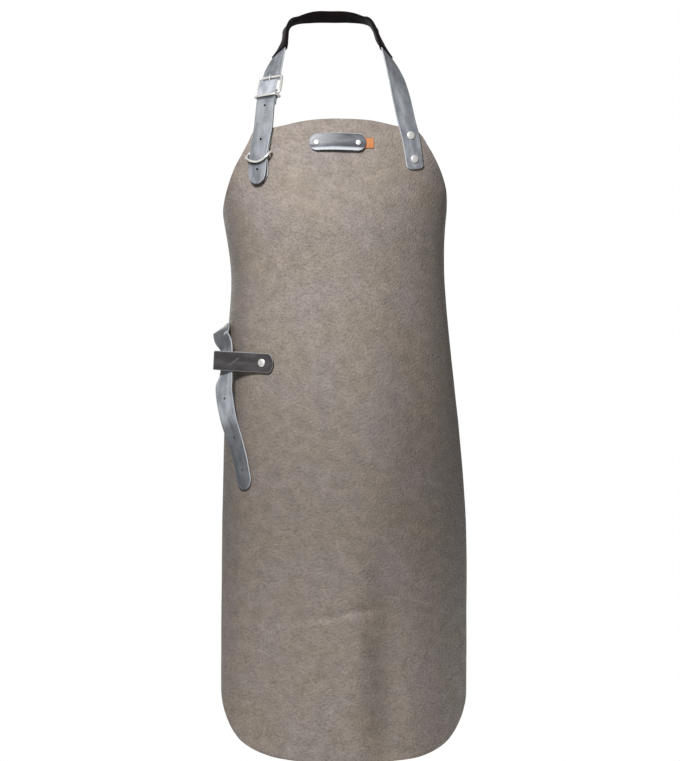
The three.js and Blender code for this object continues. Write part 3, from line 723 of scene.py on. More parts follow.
@dataclass
class Band:
    """A flat leather strap swept along a route, with round-cornered edges and shaped ends."""

    route: Route
    width: float = STRAP_WIDTH
    thickness: float = STRAP
    start_round: float = 0.007
    end_round: float = 0.015
    step: float = 0.0015
    columns: int = 14
    curl: float = 0.0
    dimples: Sequence[Place] = ()
    tone_and_painted_light: Sequence[tuple[float, float]] = ()
    wire_shadows: Array | None = None
    lip_highlight: float = 0.0

    RIM_SHARE = 0.84
    END_THICKNESS = 0.35
    LEAST_HALF = 0.00005
    DIMPLE_DEPTH = 0.00022
    LIP_HIGHLIGHT_SPAN = (0.55, 0.75)
    WIRE_SHADOW_REACH = 0.0021
    # How dark the painted wire shadows get, and their darkest
    GRIME_DARK, GRIME_MOST = 1.5, 0.92
    BEND_REACH = 0.003
    BEND_RADIUS = 0.006

    def section(self) -> tuple[Array, Array, Array]:
        """The loop round a strap's section.

        Returns:
            For each point its place across (-1 to 1, or 2 to 3 on a rim) and out (-1 to 1), its edge channel
            and its inside channel.
        """
        turns = np.radians([45.0, 0.0, -45.0])
        face = np.linspace(-1, 1, self.columns)
        rim = [(2.0 + math.cos(turn), math.sin(turn)) for turn in turns]
        loop = [(part, 1.0) for part in face] + rim
        loop += [(-part, -1.0) for part in face] + [(-across, -out) for across, out in rim]
        loop.append(loop[0])
        places = np.array(loop)
        count = self.columns
        edge = np.zeros(len(loop))
        edge[count : count + 3] = 1.0
        edge[2 * count + 3 : 2 * count + 6] = 1.0
        inside = np.zeros(len(loop))
        inside[count + 3 : 2 * count + 3] = 1.0
        return places, edge, inside

    def stations(self) -> Array:
        """Lengths of the sections: even, and closer where the ends are round."""
        length = self.route.length
        turns = 1 - np.cos(np.linspace(0.06, math.pi / 2, 12))
        even = np.arange(self.start_round, length - self.end_round, self.step)
        ends = [self.start_round * turns, length - self.end_round * turns]
        return np.unique(np.round(np.concatenate([even, *ends, [2e-5, length - 2e-5]]), 6))

    def build(self, name: str, material: Material) -> Object:
        """Sweeps the section along the route.

        Args:
            name: the piece's name.
            material: its finish.

        Returns:
            The strap's object.
        """
        at = self.stations()
        points, way, across, face = self.route.frames(at)
        from_end = np.minimum(at / self.start_round, (self.route.length - at) / self.end_round)
        from_end = np.clip(from_end, 0, 1)
        spread = np.sqrt(1 - (1 - from_end) ** 2)
        near = np.clip(np.minimum(at, self.route.length - at) / (self.thickness / 2), 0, 1)
        thin = self.END_THICKNESS + (1 - self.END_THICKNESS) * np.sqrt(1 - (1 - near) ** 2)
        loop, edge, inside = self.section()
        half, half_width = self.thickness / 2, self.width / 2
        rim = half * self.RIM_SHARE
        flat = np.maximum(half_width * spread - rim, self.LEAST_HALF)
        beyond = np.maximum(np.abs(loop[:, 0]) - 2.0, 0.0)
        on_face = np.abs(loop[:, 0]) <= 1.0
        sign = np.sign(loop[:, 0])
        inner = np.where(on_face, loop[:, 0], sign)
        shift = inner[None, :] * flat[:, None] + sign[None, :] * beyond[None, :] * rim
        out = loop[None, :, 1] * half * thin[:, None]
        out = out + self.curl * np.clip(shift / half_width, 0, 1) ** 2
        grid = points[:, None] + across[:, None] * shift[..., None] + face[:, None] * out[..., None]
        for place in self.dimples:
            away = np.linalg.norm(grid - place.at, axis=-1)
            dip = self.DIMPLE_DEPTH * bell(away / PUNCH_MOUTH) * (loop[None, :, 1] > 0)
            grid = grid - face[:, None] * dip[..., None]
        around = summed(loop[:, :1] * half_width)
        u = np.where(on_face & (loop[:, 1] > 0), loop[:, 0] * half_width, around)
        uv = np.stack(np.broadcast_arrays(u[None, :], at[:, None]), -1)
        shape = grid.shape[:2]
        # Painted highlight: the patch's lower lip, curled out towards the light, takes the pale cut-edge
        # colour
        painted_highlight = self.lip_highlight * fade(shift / half_width, *self.LIP_HIGHLIGHT_SPAN)
        # Painted shade and highlight along the strap, with its own tone
        tone_and_painted_light = np.broadcast_to(self.tone_and_light_along(at)[:, None], shape)
        # Painted shadows of the keeper and the ring on the strap
        if self.wire_shadows is not None:
            tone_and_painted_light = tone_and_painted_light + self.painted_wire_shadows(grid)
        channels = {
            "edge": np.maximum(edge[None, :], painted_highlight),
            "inside": np.broadcast_to(inside[None, :], shape),
            "bend": np.broadcast_to(self.bend(at)[:, None], shape),
            "tone_and_painted_light": tone_and_painted_light,
        }
        return close_piece(grid_mesh(grid, uv, channels), name, material)

    def tone_and_light_along(self, at: Array) -> Array:
        """How far the strap is darkened at lengths from its start: painted shade and highlight, with its own
        tone.
        """
        if not self.tone_and_painted_light:
            return np.zeros_like(at)
        from_end, amount = np.array(self.tone_and_painted_light).T
        return np.interp(self.route.length - at, from_end, amount)

    def painted_wire_shadows(self, grid: Array) -> Array:
        """The painted shadow that a wire casts on the strap just below it."""
        dark = np.zeros(grid.shape[:2])
        for place in self.wire_shadows:
            away = np.linalg.norm(grid - place, axis=-1) / self.WIRE_SHADOW_REACH
            dark = np.maximum(dark, self.GRIME_DARK * bell(away))
        return np.minimum(dark, self.GRIME_MOST)

    def bend(self, at: Array) -> Array:
        """How tightly the strap bends at lengths, from 0 when straight to 1 at the bend radius."""
        before, after = (
            self.route.frames(np.clip(at + reach, 0, self.route.length))[1]
            for reach in (-self.BEND_REACH, self.BEND_REACH)
        )
        turn = np.arccos(np.clip(np.sum(before * after, axis=1), -1, 1))
        return np.clip(turn / (2 * self.BEND_REACH) * self.BEND_RADIUS, 0, 1)


def sweep_wire(
    line: Spline, radius: float, steps: int, name: str, material: Material, closed: bool
) -> Object:
    """A round wire along a curve.

    Args:
        line: the wire's middle.
        radius: of the wire.
        steps: how many sections it has.
        name: the piece's name.
        material: its finish.
        closed: whether the wire is a ring.

    Returns:
        The wire's object.
    """
    at = np.linspace(0, line.spans, steps + 1)
    reach = WIRE_REACH
    wrapped = (lambda t: np.mod(t, line.spans)) if closed else (lambda t: np.clip(t, 0, line.spans))
    points = line.points(wrapped(at))
    way = unit(line.points(wrapped(at + reach)) - line.points(wrapped(at - reach)))
    middle = points[:-1].mean(axis=0)
    plane = np.linalg.svd(points - middle)[2][2]
    side = unit(np.cross(way, plane))
    rise = np.cross(side, way)
    turns = np.linspace(0, 2 * math.pi, WIRE_SIDES + 1)
    spread = side[:, None] * np.cos(turns)[None, :, None] + rise[:, None] * np.sin(turns)[None, :, None]
    grid = points[:, None] + radius * spread
    uv = np.stack(np.broadcast_arrays(turns[None, :] * radius, summed(points)[:, None]), -1)
    return close_piece(grid_mesh(grid, uv, {}), name, material, WIRE_WELD)


# Finishes


def linear(colour: str) -> tuple[float, float, float, float]:
    """An sRGB hex colour as linear numbers."""
    parts = [int(colour[start : start + 2], 16) / 255 for start in (1, 3, 5)]
    return (*(p / 12.92 if p <= 0.04045 else ((p + 0.055) / 1.055) ** 2.4 for p in parts), 1.0)


def fill(tree: NodeTree, node: Node, inputs: dict[Any, Any]) -> None:
    """Links or sets a node's inputs, by name or by place."""
    for socket, value in inputs.items():
        if isinstance(value, NodeSocket):
            tree.links.new(value, node.inputs[socket])
        else:
            node.inputs[socket].default_value = value


def add(
    tree: NodeTree, kind: str, inputs: dict[Any, Any] | Sequence[Any] = (), out: Any = 0, **settings: Any
) -> NodeSocket:
    """Adds a node with its settings, and links or sets its inputs.

    Args:
        tree: the nodes to add it to.
        kind: the node's type, without the words that all shader nodes start with.
        inputs: by name or place, or in the order of the node's sockets.
        out: the name or place of the output that is wanted.
        settings: of the node, by name.

    Returns:
        The output socket.
    """
    node = tree.nodes.new("ShaderNode" + kind)
    for name, value in settings.items():
        setattr(node, name, value)
    fill(tree, node, inputs if isinstance(inputs, dict) else dict(enumerate(inputs)))
    return node.outputs[out]


# Places of the colour sockets on a Mix node, and what makes it mix colours
MIX_A, MIX_B, MIX_OUT = 6, 7, 2
COLOURS = {"data_type": "RGBA", "out": MIX_OUT}
# A noise on a flat map, and the numbers that most of a noise lies between
FLAT = {"noise_dimensions": "2D"}
NOISE_SPAN = (0.3, 0.7)
# How far a roughness goes below and above its middle
ROUGH_LESS, ROUGH_MORE = 0.06, 0.1


def new_material(name: str) -> tuple[Material, NodeTree, Node]:
    """An empty node material with its shader."""
    material = bpy.data.materials.new(name)
    material.use_nodes = True
    tree = material.node_tree
    return material, tree, tree.nodes["Principled BSDF"]


@dataclass(frozen=True)
class PebbledHide:
    """Full-grain cowhide, drum dyed and milled: a soft pebble with creases, matt, raw at its cut edge."""

    cool: str = "#948a85"
    warm: str = "#93887d"
    crease: str = "#655c55"
    raw_edge: str = "#8d7b69"
    flesh: str = "#8b8075"
    pebble: float = 0.0031
    pore: float = 0.0011
    mottle: float = 0.016
    fleck: float = 0.0046
    patch: float = 0.085
    raise_size: float = 0.022
    grain_depth: float = 0.00076
    flow: float = 0.06
    flow_pull: float = 0.014
    lay_turn: float = -28.0
    lay_stretch: float = 0.82
    crease_shade_share: float = 0.36
    relief: tuple[float, float] = (0.45, 1.0)
    dye: tuple[float, float] = (0.82, 1.18)
    speckle: tuple[float, float] = (0.95, 1.05)
    matt: tuple[float, float] = (0.5, 0.66)

    def make(self) -> Material:
        """Builds the material."""
        material, tree, shader = new_material("milled_cowhide_taupe")
        uv = add(tree, "UVMap", uv_map=UV_NAME)
        # The hide was stretched unevenly, so the pebble flows in long soft curves
        flow = add(tree, "TexNoise", {"Vector": uv, "Scale": 1 / self.flow, "Detail": 2.0}, "Color")
        pull = add(tree, "VectorMath", (flow, (-0.5, -0.5, -0.5)), operation="ADD")
        reach = (self.flow_pull, self.flow_pull, 0.0)
        bent = add(tree, "VectorMath", (pull, reach, uv), operation="MULTIPLY_ADD")
        turn, stretch = (0.0, 0.0, math.radians(self.lay_turn)), (self.lay_stretch, 1.0, 1.0)
        lay = add(tree, "Mapping", {"Vector": bent, "Rotation": turn, "Scale": stretch})
        cell = {"Vector": lay, "Scale": 1 / self.pebble, "Smoothness": 0.35}
        cells = add(tree, "TexVoronoi", cell, feature="SMOOTH_F1", voronoi_dimensions="2D")
        pores, patches, raised, clouds, flecks = (
            add(tree, "TexNoise", {"Vector": at, "Scale": 1 / size, "Detail": up, "Roughness": fine}, **FLAT)
            for at, size, up, fine in (
                (lay, self.pore, 3.0, 0.5),
                (uv, self.patch, 4.0, 0.6),
                (uv, self.raise_size, 2.0, 0.5),
                (lay, self.mottle, 6.0, 0.75),
                (lay, self.fleck, 1.0, 0.6),
            )
        )
        painted_shade, inside, edge = (
            add(tree, "Attribute", out="Fac", attribute_name=name) for name in ("painted_shade", "inside", "edge")
        )
        # Milling raised the grain more in some places than in others
        height = add(tree, "Math", (cells, -1.0, pores), operation="MULTIPLY_ADD")
        relief = add(tree, "MapRange", (raised, 0.32, 0.68, *self.relief))
        bump = add(tree, "Bump", {"Height": height, "Strength": relief, "Distance": self.grain_depth})
        # The dye took unevenly, so small clouds of the grain are lighter or darker
        tint = add(tree, "MapRange", (patches, 0.36, 0.64))
        base = add(tree, "Mix", {0: tint, MIX_A: linear(self.cool), MIX_B: linear(self.warm)}, **COLOURS)
        dye = add(tree, "MapRange", (clouds, *NOISE_SPAN, *self.dye))
        speckled = add(tree, "MapRange", (flecks, *NOISE_SPAN, *self.speckle))
        # Painted shade darkens the hide's colour, and the painted highlight below the lap crease lightens it
        unshaded = add(tree, "Math", (1.0, painted_shade), operation="SUBTRACT")
        grain = add(tree, "Math", (dye, speckled), operation="MULTIPLY")
        tone = add(tree, "Math", (grain, unshaded), operation="MULTIPLY")
        dyed = add(tree, "VectorMath", {0: base, "Scale": tone}, operation="SCALE")
        # Painted shade in the hollows between the pebbles, with the crease colour
        deep = add(tree, "MapRange", (cells, 0.3, 0.8, 0.0, self.crease_shade_share))
        grained = add(tree, "Mix", {0: deep, MIX_A: dyed, MIX_B: linear(self.crease)}, **COLOURS)
        # The flesh side's nap lies every way, so it is cloudier than the grain
        nap = add(tree, "Math", (dye, grain), operation="MULTIPLY")
        suede = add(tree, "VectorMath", {0: linear(self.flesh)[:3], "Scale": nap}, operation="SCALE")
        backed = add(tree, "Mix", {0: inside, MIX_A: grained, MIX_B: suede}, **COLOURS)
        edged = add(tree, "Mix", {0: edge, MIX_A: backed, MIX_B: linear(self.raw_edge)}, **COLOURS)
        matt = add(tree, "MapRange", (pores, *NOISE_SPAN, *self.matt))
        rough = add(tree, "Math", (matt, inside), operation="MAXIMUM")
        fill(tree, shader, {"Base Color": edged, "Roughness": rough, "Normal": bump})
        fill(tree, shader, {"IOR": 1.45, "Specular IOR Level": 0.32})
        return material


@dataclass(frozen=True)
class WaxedStrap:
    """Strap leather, waxed and cut in strips: smooth, paler where it bends, on its edges and scuffs."""

    name: str = "waxed_strap_leather_grey"
    ground: str = "#64676c"
    worn: str = "#8f9298"
    cut_edge: str = "#b9bcc1"
    flesh: str = "#808186"
    grain: float = 0.0009
    scuff: float = 0.014
    scuff_stretch: float = 0.35
    wear: tuple[float, float] = (0.62, 0.91)
    most_wear: float = 0.85
    bend_wear: float = 0.6
    roughness: float = 0.42
    scratch: tuple[float, float, float, float] | None = None

    def make(self) -> Material:
        """Builds the material."""
        material, tree, shader = new_material(self.name)
        uv = add(tree, "UVMap", uv_map=UV_NAME)
        long = add(tree, "Mapping", {"Vector": uv, "Scale": (1.0, self.scuff_stretch, 1.0)})
        scuff = {"Vector": long, "Scale": 1 / self.scuff, "Detail": 5.0, "Roughness": 0.62}
        scuffs = add(tree, "TexNoise", scuff, **FLAT)
        pores = add(tree, "TexNoise", {"Vector": uv, "Scale": 1 / self.grain, "Detail": 2.0}, **FLAT)
        bend, tone_and_painted_light, inside, edge = (
            add(tree, "Attribute", out="Fac", attribute_name=name)
            for name in ("bend", "tone_and_painted_light", "inside", "edge")
        )
        specks = add(tree, "Math", (pores, 0.5, scuffs), operation="MULTIPLY_ADD")
        wear = add(tree, "MapRange", (specks, *self.wear, 0.0, self.most_wear))
        pulled = add(tree, "Math", (bend, self.bend_wear, wear), operation="MULTIPLY_ADD")
        wax = {0: pulled, MIX_A: linear(self.ground), MIX_B: linear(self.worn)}
        shade = add(tree, "Mix", wax, clamp_factor=True, **COLOURS)
        # Painted shade and highlight along the strap, with its own tone, and the painted wire shadows, scale
        # its colour
        painted_brightness = add(tree, "Math", (1.0, tone_and_painted_light), operation="SUBTRACT")
        shade = add(tree, "VectorMath", {0: shade, "Scale": painted_brightness}, operation="SCALE")
        if self.scratch:
            shade = self.add_scratch(tree, uv, shade)
        backed = add(tree, "Mix", {0: inside, MIX_A: shade, MIX_B: linear(self.flesh)}, **COLOURS)
        edged = add(tree, "Mix", {0: edge, MIX_A: backed, MIX_B: linear(self.cut_edge)}, **COLOURS)
        bump = add(tree, "Bump", {"Height": pores, "Strength": 0.5, "Distance": 0.0001})
        low, high = self.roughness - ROUGH_LESS, self.roughness + ROUGH_MORE
        gloss = add(tree, "MapRange", (scuffs, *NOISE_SPAN, low, high))
        rough = add(tree, "Math", (inside, 0.4, gloss), operation="MULTIPLY_ADD")
        fill(tree, shader, {"Base Color": edged, "Roughness": rough, "Normal": bump, "IOR": 1.48})
        return material

    def add_scratch(self, tree: NodeTree, uv: NodeSocket, shade: NodeSocket) -> NodeSocket:
        """A pale line where the wax was scratched, by its place across and along, its turn and its length.

        Args:
            tree: the strap's nodes.
            uv: the map's places.
            shade: the colour below the line.

        Returns:
            The colour with the line on it.
        """
        across, along, turn, length = self.scratch
        lie = {"Location": (across, along, 0.0), "Rotation": (0.0, 0.0, math.radians(turn))}
        line = add(tree, "Mapping", {"Vector": uv, **lie}, vector_type="TEXTURE")
        waver = add(tree, "TexNoise", {"Vector": uv, "Scale": 1 / 0.006}, **FLAT)
        beyond, beside = add(tree, "SeparateXYZ", (line,)).node.outputs[:2]
        bent = add(tree, "Math", (waver, 0.005, beside), operation="MULTIPLY_ADD")
        centred = add(tree, "Math", (bent, 0.0025), operation="SUBTRACT")
        away = add(tree, "Math", (centred,), operation="ABSOLUTE")
        thin = add(tree, "MapRange", (away, 0.0, 0.0012, 0.34, 0.0))
        reach = add(tree, "Math", (beyond,), operation="ABSOLUTE")
        short = add(tree, "MapRange", (reach, length * 0.35, length * 0.5, 1.0, 0.0))
        mark = add(tree, "Math", (thin, short), operation="MULTIPLY")
        return add(tree, "Mix", {0: mark, MIX_A: shade, MIX_B: linear(self.cut_edge)}, **COLOURS)


@dataclass(frozen=True)
class BlackFelt:
    """Pressed wool felt: near black, with a nap of short fibres that catches light at its turning edge."""

    colour: str = "#090606"
    nap: str = "#160f0e"
    fibre: float = 0.0012

    def make(self) -> Material:
        """Builds the material."""
        material, tree, shader = new_material("pressed_wool_felt_black")
        place = add(tree, "TexCoord", out="Object")
        fibre = {"Vector": place, "Scale": 1 / self.fibre, "Detail": 4.0, "Roughness": 0.7}
        fibres = add(tree, "TexNoise", fibre)
        shade = add(tree, "Mix", {0: fibres, MIX_A: linear(self.colour), MIX_B: linear(self.nap)}, **COLOURS)
        bump = add(tree, "Bump", {"Height": fibres, "Strength": 0.8, "Distance": 0.0005})
        fill(tree, shader, {"Base Color": shade, "Normal": bump, "Roughness": 0.95})
        fill(tree, shader, {"Specular IOR Level": 0.1, "Sheen Weight": 0.04, "Sheen Roughness": 0.5})
        return material


@dataclass(frozen=True)
class NickelPlate:
    """Nickel-plated steel, drawn or pressed and tumbled: bright, with a soft satin haze."""

    name: str
    colour: str = "#e9e7e3"
    roughness: float = 0.26
    haze: float = 0.0018
    metallic: float = 0.6

    def make(self) -> Material:
        """Builds the material."""
        material, tree, shader = new_material(self.name)
        place = add(tree, "TexCoord", out="Object")
        haze = {"Vector": place, "Scale": 1 / self.haze, "Detail": 4.0, "Roughness": 0.6}
        low, high = self.roughness - ROUGH_LESS, self.roughness + ROUGH_MORE
        rough = add(tree, "MapRange", (add(tree, "TexNoise", haze), *NOISE_SPAN, low, high))
        looks = {"Roughness": rough, "Base Color": linear(self.colour), "Metallic": self.metallic}
        fill(tree, shader, looks)
        return material


# Sub-assemblies


# Places across a rounded rim, as parts of its radius: a quarter of a circle in two steps
RIM_ROUND = np.array([0.0, 1 - math.sqrt(0.5), 1.0])


@dataclass
class ApronPanel:
    """The panel: one hide from the bib's top edge to the hem, wrapped round the sides."""

    hide: Hide
    columns: int = 176
    rows: int = 236
    edge_round: float = 0.0006
    wrinkle: float = 0.00032
    crease_width: float = 0.0042
    crease_depth: float = 0.0014
    # Painted highlight on the lower wall of the lap crease, which faces the light
    crease_highlight: float = 0.2
    # Painted shade: how far the hide's colour is darkened where less light falls, on each side, over the
    # belly, the lap and the fold's valley
    left_side_shade: float = 0.36
    right_side_shade: float = 0.14
    belly_shade: float = 0.24
    lap_shade: float = 0.16
    fold_shade: float = 0.24
    pull_drop: float = 0.185
    pull_height: float = 0.06
    pull_across: float = 0.05
    flat_size: tuple[float, float] = (0.58, 0.898)
    flat_area: float = 0.439

    def stations(self, count: int, span: float) -> Array:
        """Even places from 0 to 1 along the hide, with closer ones at both ends for the rounded rim.

        Args:
            count: of the even places.
            span: the hide's length along them.

        Returns:
            The places in order.
        """
        close = RIM_ROUND * self.edge_round / span
        return np.concatenate([close, np.linspace(0, 1, count)[1:-1], 1 - close[::-1]])

    def rings(self, rows: int, columns: int) -> Array:
        """How many rows of points lie between each point and the hide's rim, up to the last rounded one.

        Args:
            rows: of the grid of points.
            columns: of the grid of points.

        Returns:
            A number for each point, 0 on the rim.
        """
        down = np.minimum(np.arange(rows), np.arange(rows)[::-1])
        across = np.minimum(np.arange(columns), np.arange(columns)[::-1])
        return np.minimum(np.minimum.outer(down, across), len(RIM_ROUND) - 1)

    def wrinkles(self, points: Array) -> Array:
        """Low uneven ripples of the soft leather, in metres out of the hide."""
        flat = points.reshape(-1, 3)
        out = np.empty(len(flat))
        for index, (x, y, z) in enumerate(flat):
            broad = noise.noise(Vector((x * 22 + 3.1, y * 22, z * 17)))
            fine = noise.noise(Vector((x * 60 + z * 22, y * 60, z * 34 + 7.7)))
            crease = noise.noise(Vector((x * 26 - z * 95, y * 26, z * 150 + x * 60)))
            # The bib is pulled towards its right rivets
            pulled = max(0.0, 1 - abs(z + self.pull_drop) / self.pull_height)
            pulled *= min(1.0, max(0.15, x / self.pull_across))
            out[index] = broad + 0.45 * fine + 1.5 * pulled * crease
        return self.wrinkle * out.reshape(points.shape[:2])

    def lap_crease(self, points: Array, below: float = 0.0) -> Array:
        """A crease across the lap where the hide was once folded, from 0 to 1 along its bottom.

        Args:
            points: of the hide.
            below: how far under the crease's bottom to look.

        Returns:
            How near each point is to the crease.
        """
        across, drop, depth = np.array(LAP_CREASE).T
        line = np.interp(points[..., 0], across, drop) + below
        return np.interp(points[..., 0], across, depth) * bell((-points[..., 2] - line) / self.crease_width)

    def painted_shade(self, angle: Array, drop: Array) -> Array:
        """How much shade is painted into the hide's colour where less light falls on it: the chest sides,
        the belly, the lap and the valley of the skirt's fold.
        """
        side = np.where(angle < 0, self.left_side_shade, self.right_side_shade)
        sides = side * ease(fade(np.abs(angle), 44, 82)) * fade(drop, 0.95, 0.5)
        belly = self.belly_shade * bell((drop - 0.69) / 0.2)
        lap = self.lap_shade * ease(fade(angle, 8, 32)) * bell((drop - 0.6) / 0.26)
        fold = self.fold_shade * bell((angle - 17) / 7) * fade(drop, 0.68, 0.92) * fade(drop, 1.06, 1.0)
        return sides + belly + lap + fold

    def build(self, material: Material) -> Object:
        """Builds the panel as a wall with rounded raw edges.

        Args:
            material: its finish.

        Returns:
            The panel's object.
        """
        angles = WRAP * (2 * self.stations(self.columns, self.flat_size[0]) - 1)
        reach = np.abs(angles)
        left, right = (smooth_column(TOP_EDGE, "angle", name, reach) for name in ("left", "right"))
        top = np.where(angles < 0, left, right)
        foot = smooth_column(HEM, "angle", "drop", reach)
        part = self.stations(self.rows, self.flat_size[1])[:, None]
        drop = top + (foot - top) * part
        ring = self.rings(*drop.shape)
        angle = np.broadcast_to(angles, drop.shape)
        outer = self.hide.outer(angle, drop)
        face = self.hide.facing(self.hide.outer, angle, drop)
        ripples = self.wrinkles(outer) - self.crease_depth * self.lap_crease(outer)
        painted_highlight = self.crease_highlight * self.lap_crease(outer, below=self.crease_width)
        sunk = self.edge_round * RIM_ROUND[::-1][ring]
        inner = outer + face * (ripples - HIDE + sunk)[..., None]
        outer = outer + face * (ripples - sunk)[..., None]
        across = summed(outer[self.rows // 2])
        uv = np.stack([np.broadcast_to(across - across[-1] / 2, drop.shape), -drop], -1)
        raw = np.clip(1 - 0.5 * ring, 0, 1)
        # Painted shade, less the painted highlight just below the lap crease
        painted_shade = self.painted_shade(angle, drop) - painted_highlight
        mesh = grid_mesh(inner, uv, {"edge": raw, "inside": np.zeros(drop.shape), "painted_shade": painted_shade})
        station = mesh.verts.layers.int["station"]
        edge = mesh.loops.layers.float["edge"]
        inside = mesh.loops.layers.float["inside"]
        flesh = mesh.faces[:]
        grown = bmesh.ops.extrude_face_region(mesh, geom=flesh, use_keep_orig=True)["geom"]
        flat = outer.reshape(-1, 3)
        for part_ in grown:
            if isinstance(part_, bmesh.types.BMVert):
                part_.co = flat[part_[station]]
        bmesh.ops.reverse_faces(mesh, faces=flesh)
        skin = {part_ for part_ in grown if isinstance(part_, bmesh.types.BMFace)}
        for face_ in flesh:
            for loop in face_.loops:
                loop[inside] = 1.0
        walls = skin.union(flesh)
        rims = [face_ for face_ in mesh.faces if face_ not in walls]
        for face_ in rims:
            face_.smooth = True
            for loop in face_.loops:
                loop[edge] = 1.0
        bmesh.ops.recalc_face_normals(mesh, faces=mesh.faces[:])
        piece = finish_piece(mesh, "hide_panel", material)
        adopt(piece, "apron_panel")
        return piece


@dataclass
class BuckleSeat:
    """Where the buckle sits on the left strap, and its own directions."""

    middle: Array = field(default_factory=lambda: vec(-0.0873, -0.1360, -0.119))
    up: Array = field(default_factory=lambda: unit(vec(0.1, 0.6, 0.8)))
    facing: Array = field(default_factory=lambda: vec(-0.35, -0.75, 0.55))

    def __post_init__(self) -> None:
        """Works out the way to the right and the way out."""
        self.right = unit(np.cross(self.up, self.facing))
        self.out = np.cross(self.right, self.up)

    def at(self, across: float, along: float, lift: float) -> Array:
        """A point by its place across, along and out from the rear bar's middle."""
        return self.middle + self.right * across + self.up * along + self.out * lift


def rounded_rectangle(
    middle: Array, right: Array, up: Array, half_width: float, half_height: float, corner: float
) -> Array:
    """Points round a rectangle with rounded corners, in the plane of two directions."""
    points = []
    for sign_x, sign_y, start in ((1, 1, 0), (-1, 1, 90), (-1, -1, 180), (1, -1, 270)):
        for turn in (0, 30, 60, 90):
            angle = math.radians(start + turn)
            x = sign_x * (half_width - corner) + corner * math.cos(angle)
            y = sign_y * (half_height - corner) + corner * math.sin(angle)
            points.append(middle + right * x + up * y)
    return np.array(points)


@dataclass
class NeckStrap:
    """The long strap: riveted on the right, round the neck, through the buckle, with its felt pad."""

    hide: Hide
    seat: BuckleSeat
    pad_width: float = 0.033
    pad_thickness: float = 0.0064
    pad_reach: float = 0.058
    pad_front: float = 0.110
    pad_room: tuple[float, float] = (0.0006, 0.0004)
    pad_dents: float = 0.0005

    def route(self) -> Route:
        """The strap's line from its riveted end to its free tip."""
        places = [self.hide.front(*row) for row in NECK_SEAT]
        places += run_places(NECK_RUN)
        places += [Place(self.seat.at(0, along, out), self.seat.out) for along, out in BUCKLE_RUN]
        places += [self.hide.front(*row) for row in TIP_SEAT]
        return Route(places)

    def build(self, leather: Material, felt: Material, wire_shadows: Array) -> None:
        """Builds the strap and its pad.

        Args:
            leather: the strap's finish.
            felt: the pad's finish.
            wire_shadows: points where the wires' shadows are painted on the strap.
        """
        route = self.route()
        holes = [route.at_drop(drop, -1) for drop in TIP_HOLES]
        fine = {"step": 0.0009, "columns": 26}
        band = Band(route, start_round=0.005, dimples=holes, tone_and_painted_light=NECK_TONE_AND_LIGHT, wire_shadows=wire_shadows, **fine)
        strap = band.build("neck_strap_leather", leather)
        punch(strap, holes, felt)
        adopt(strap, "neck_strap")
        pad = self.build_pad(route, felt)
        adopt(pad, "neck_pad")

    def build_pad(self, route: Route, felt: Material) -> Object:
        """A soft sleeve round the strap, from one side of the neck to the other."""
        fine = np.arange(0, route.length, 0.001)
        points = route.points(fine)
        held = fine[(points[:, 2] > -self.pad_reach) & (points[:, 1] > -self.pad_front)]
        at = np.linspace(held[0], held[-1], 150)
        middle, _, across, face = route.frames(at)
        turns = np.linspace(0, 2 * math.pi, 49)

        def ring(half_width: float, half_height: float) -> Array:
            """Points round a soft-cornered section, along the pad."""
            wide = np.sign(np.cos(turns)) * np.abs(np.cos(turns)) ** 0.45 * half_width
            high = np.sign(np.sin(turns)) * np.abs(np.sin(turns)) ** 0.55 * half_height
            return middle[:, None] + across[:, None] * wide[:, None] + face[:, None] * high[:, None]

        outer = ring(self.pad_width / 2, self.pad_thickness / 2)
        inner = ring(STRAP_WIDTH / 2 + self.pad_room[0], STRAP / 2 + self.pad_room[1])
        out = unit(outer - middle[:, None])
        for row in range(len(at)):
            for column in range(len(turns) - 1):
                soft = noise.noise(Vector(outer[row, column] * 55))
                outer[row, column] += out[row, column] * self.pad_dents * soft
            outer[row, -1] = outer[row, 0]
        grid = np.concatenate([outer, inner[::-1], outer[:1]])
        return close_piece(grid_mesh(grid, np.zeros((*grid.shape[:2], 2)), {}), "neck_pad_felt", felt)


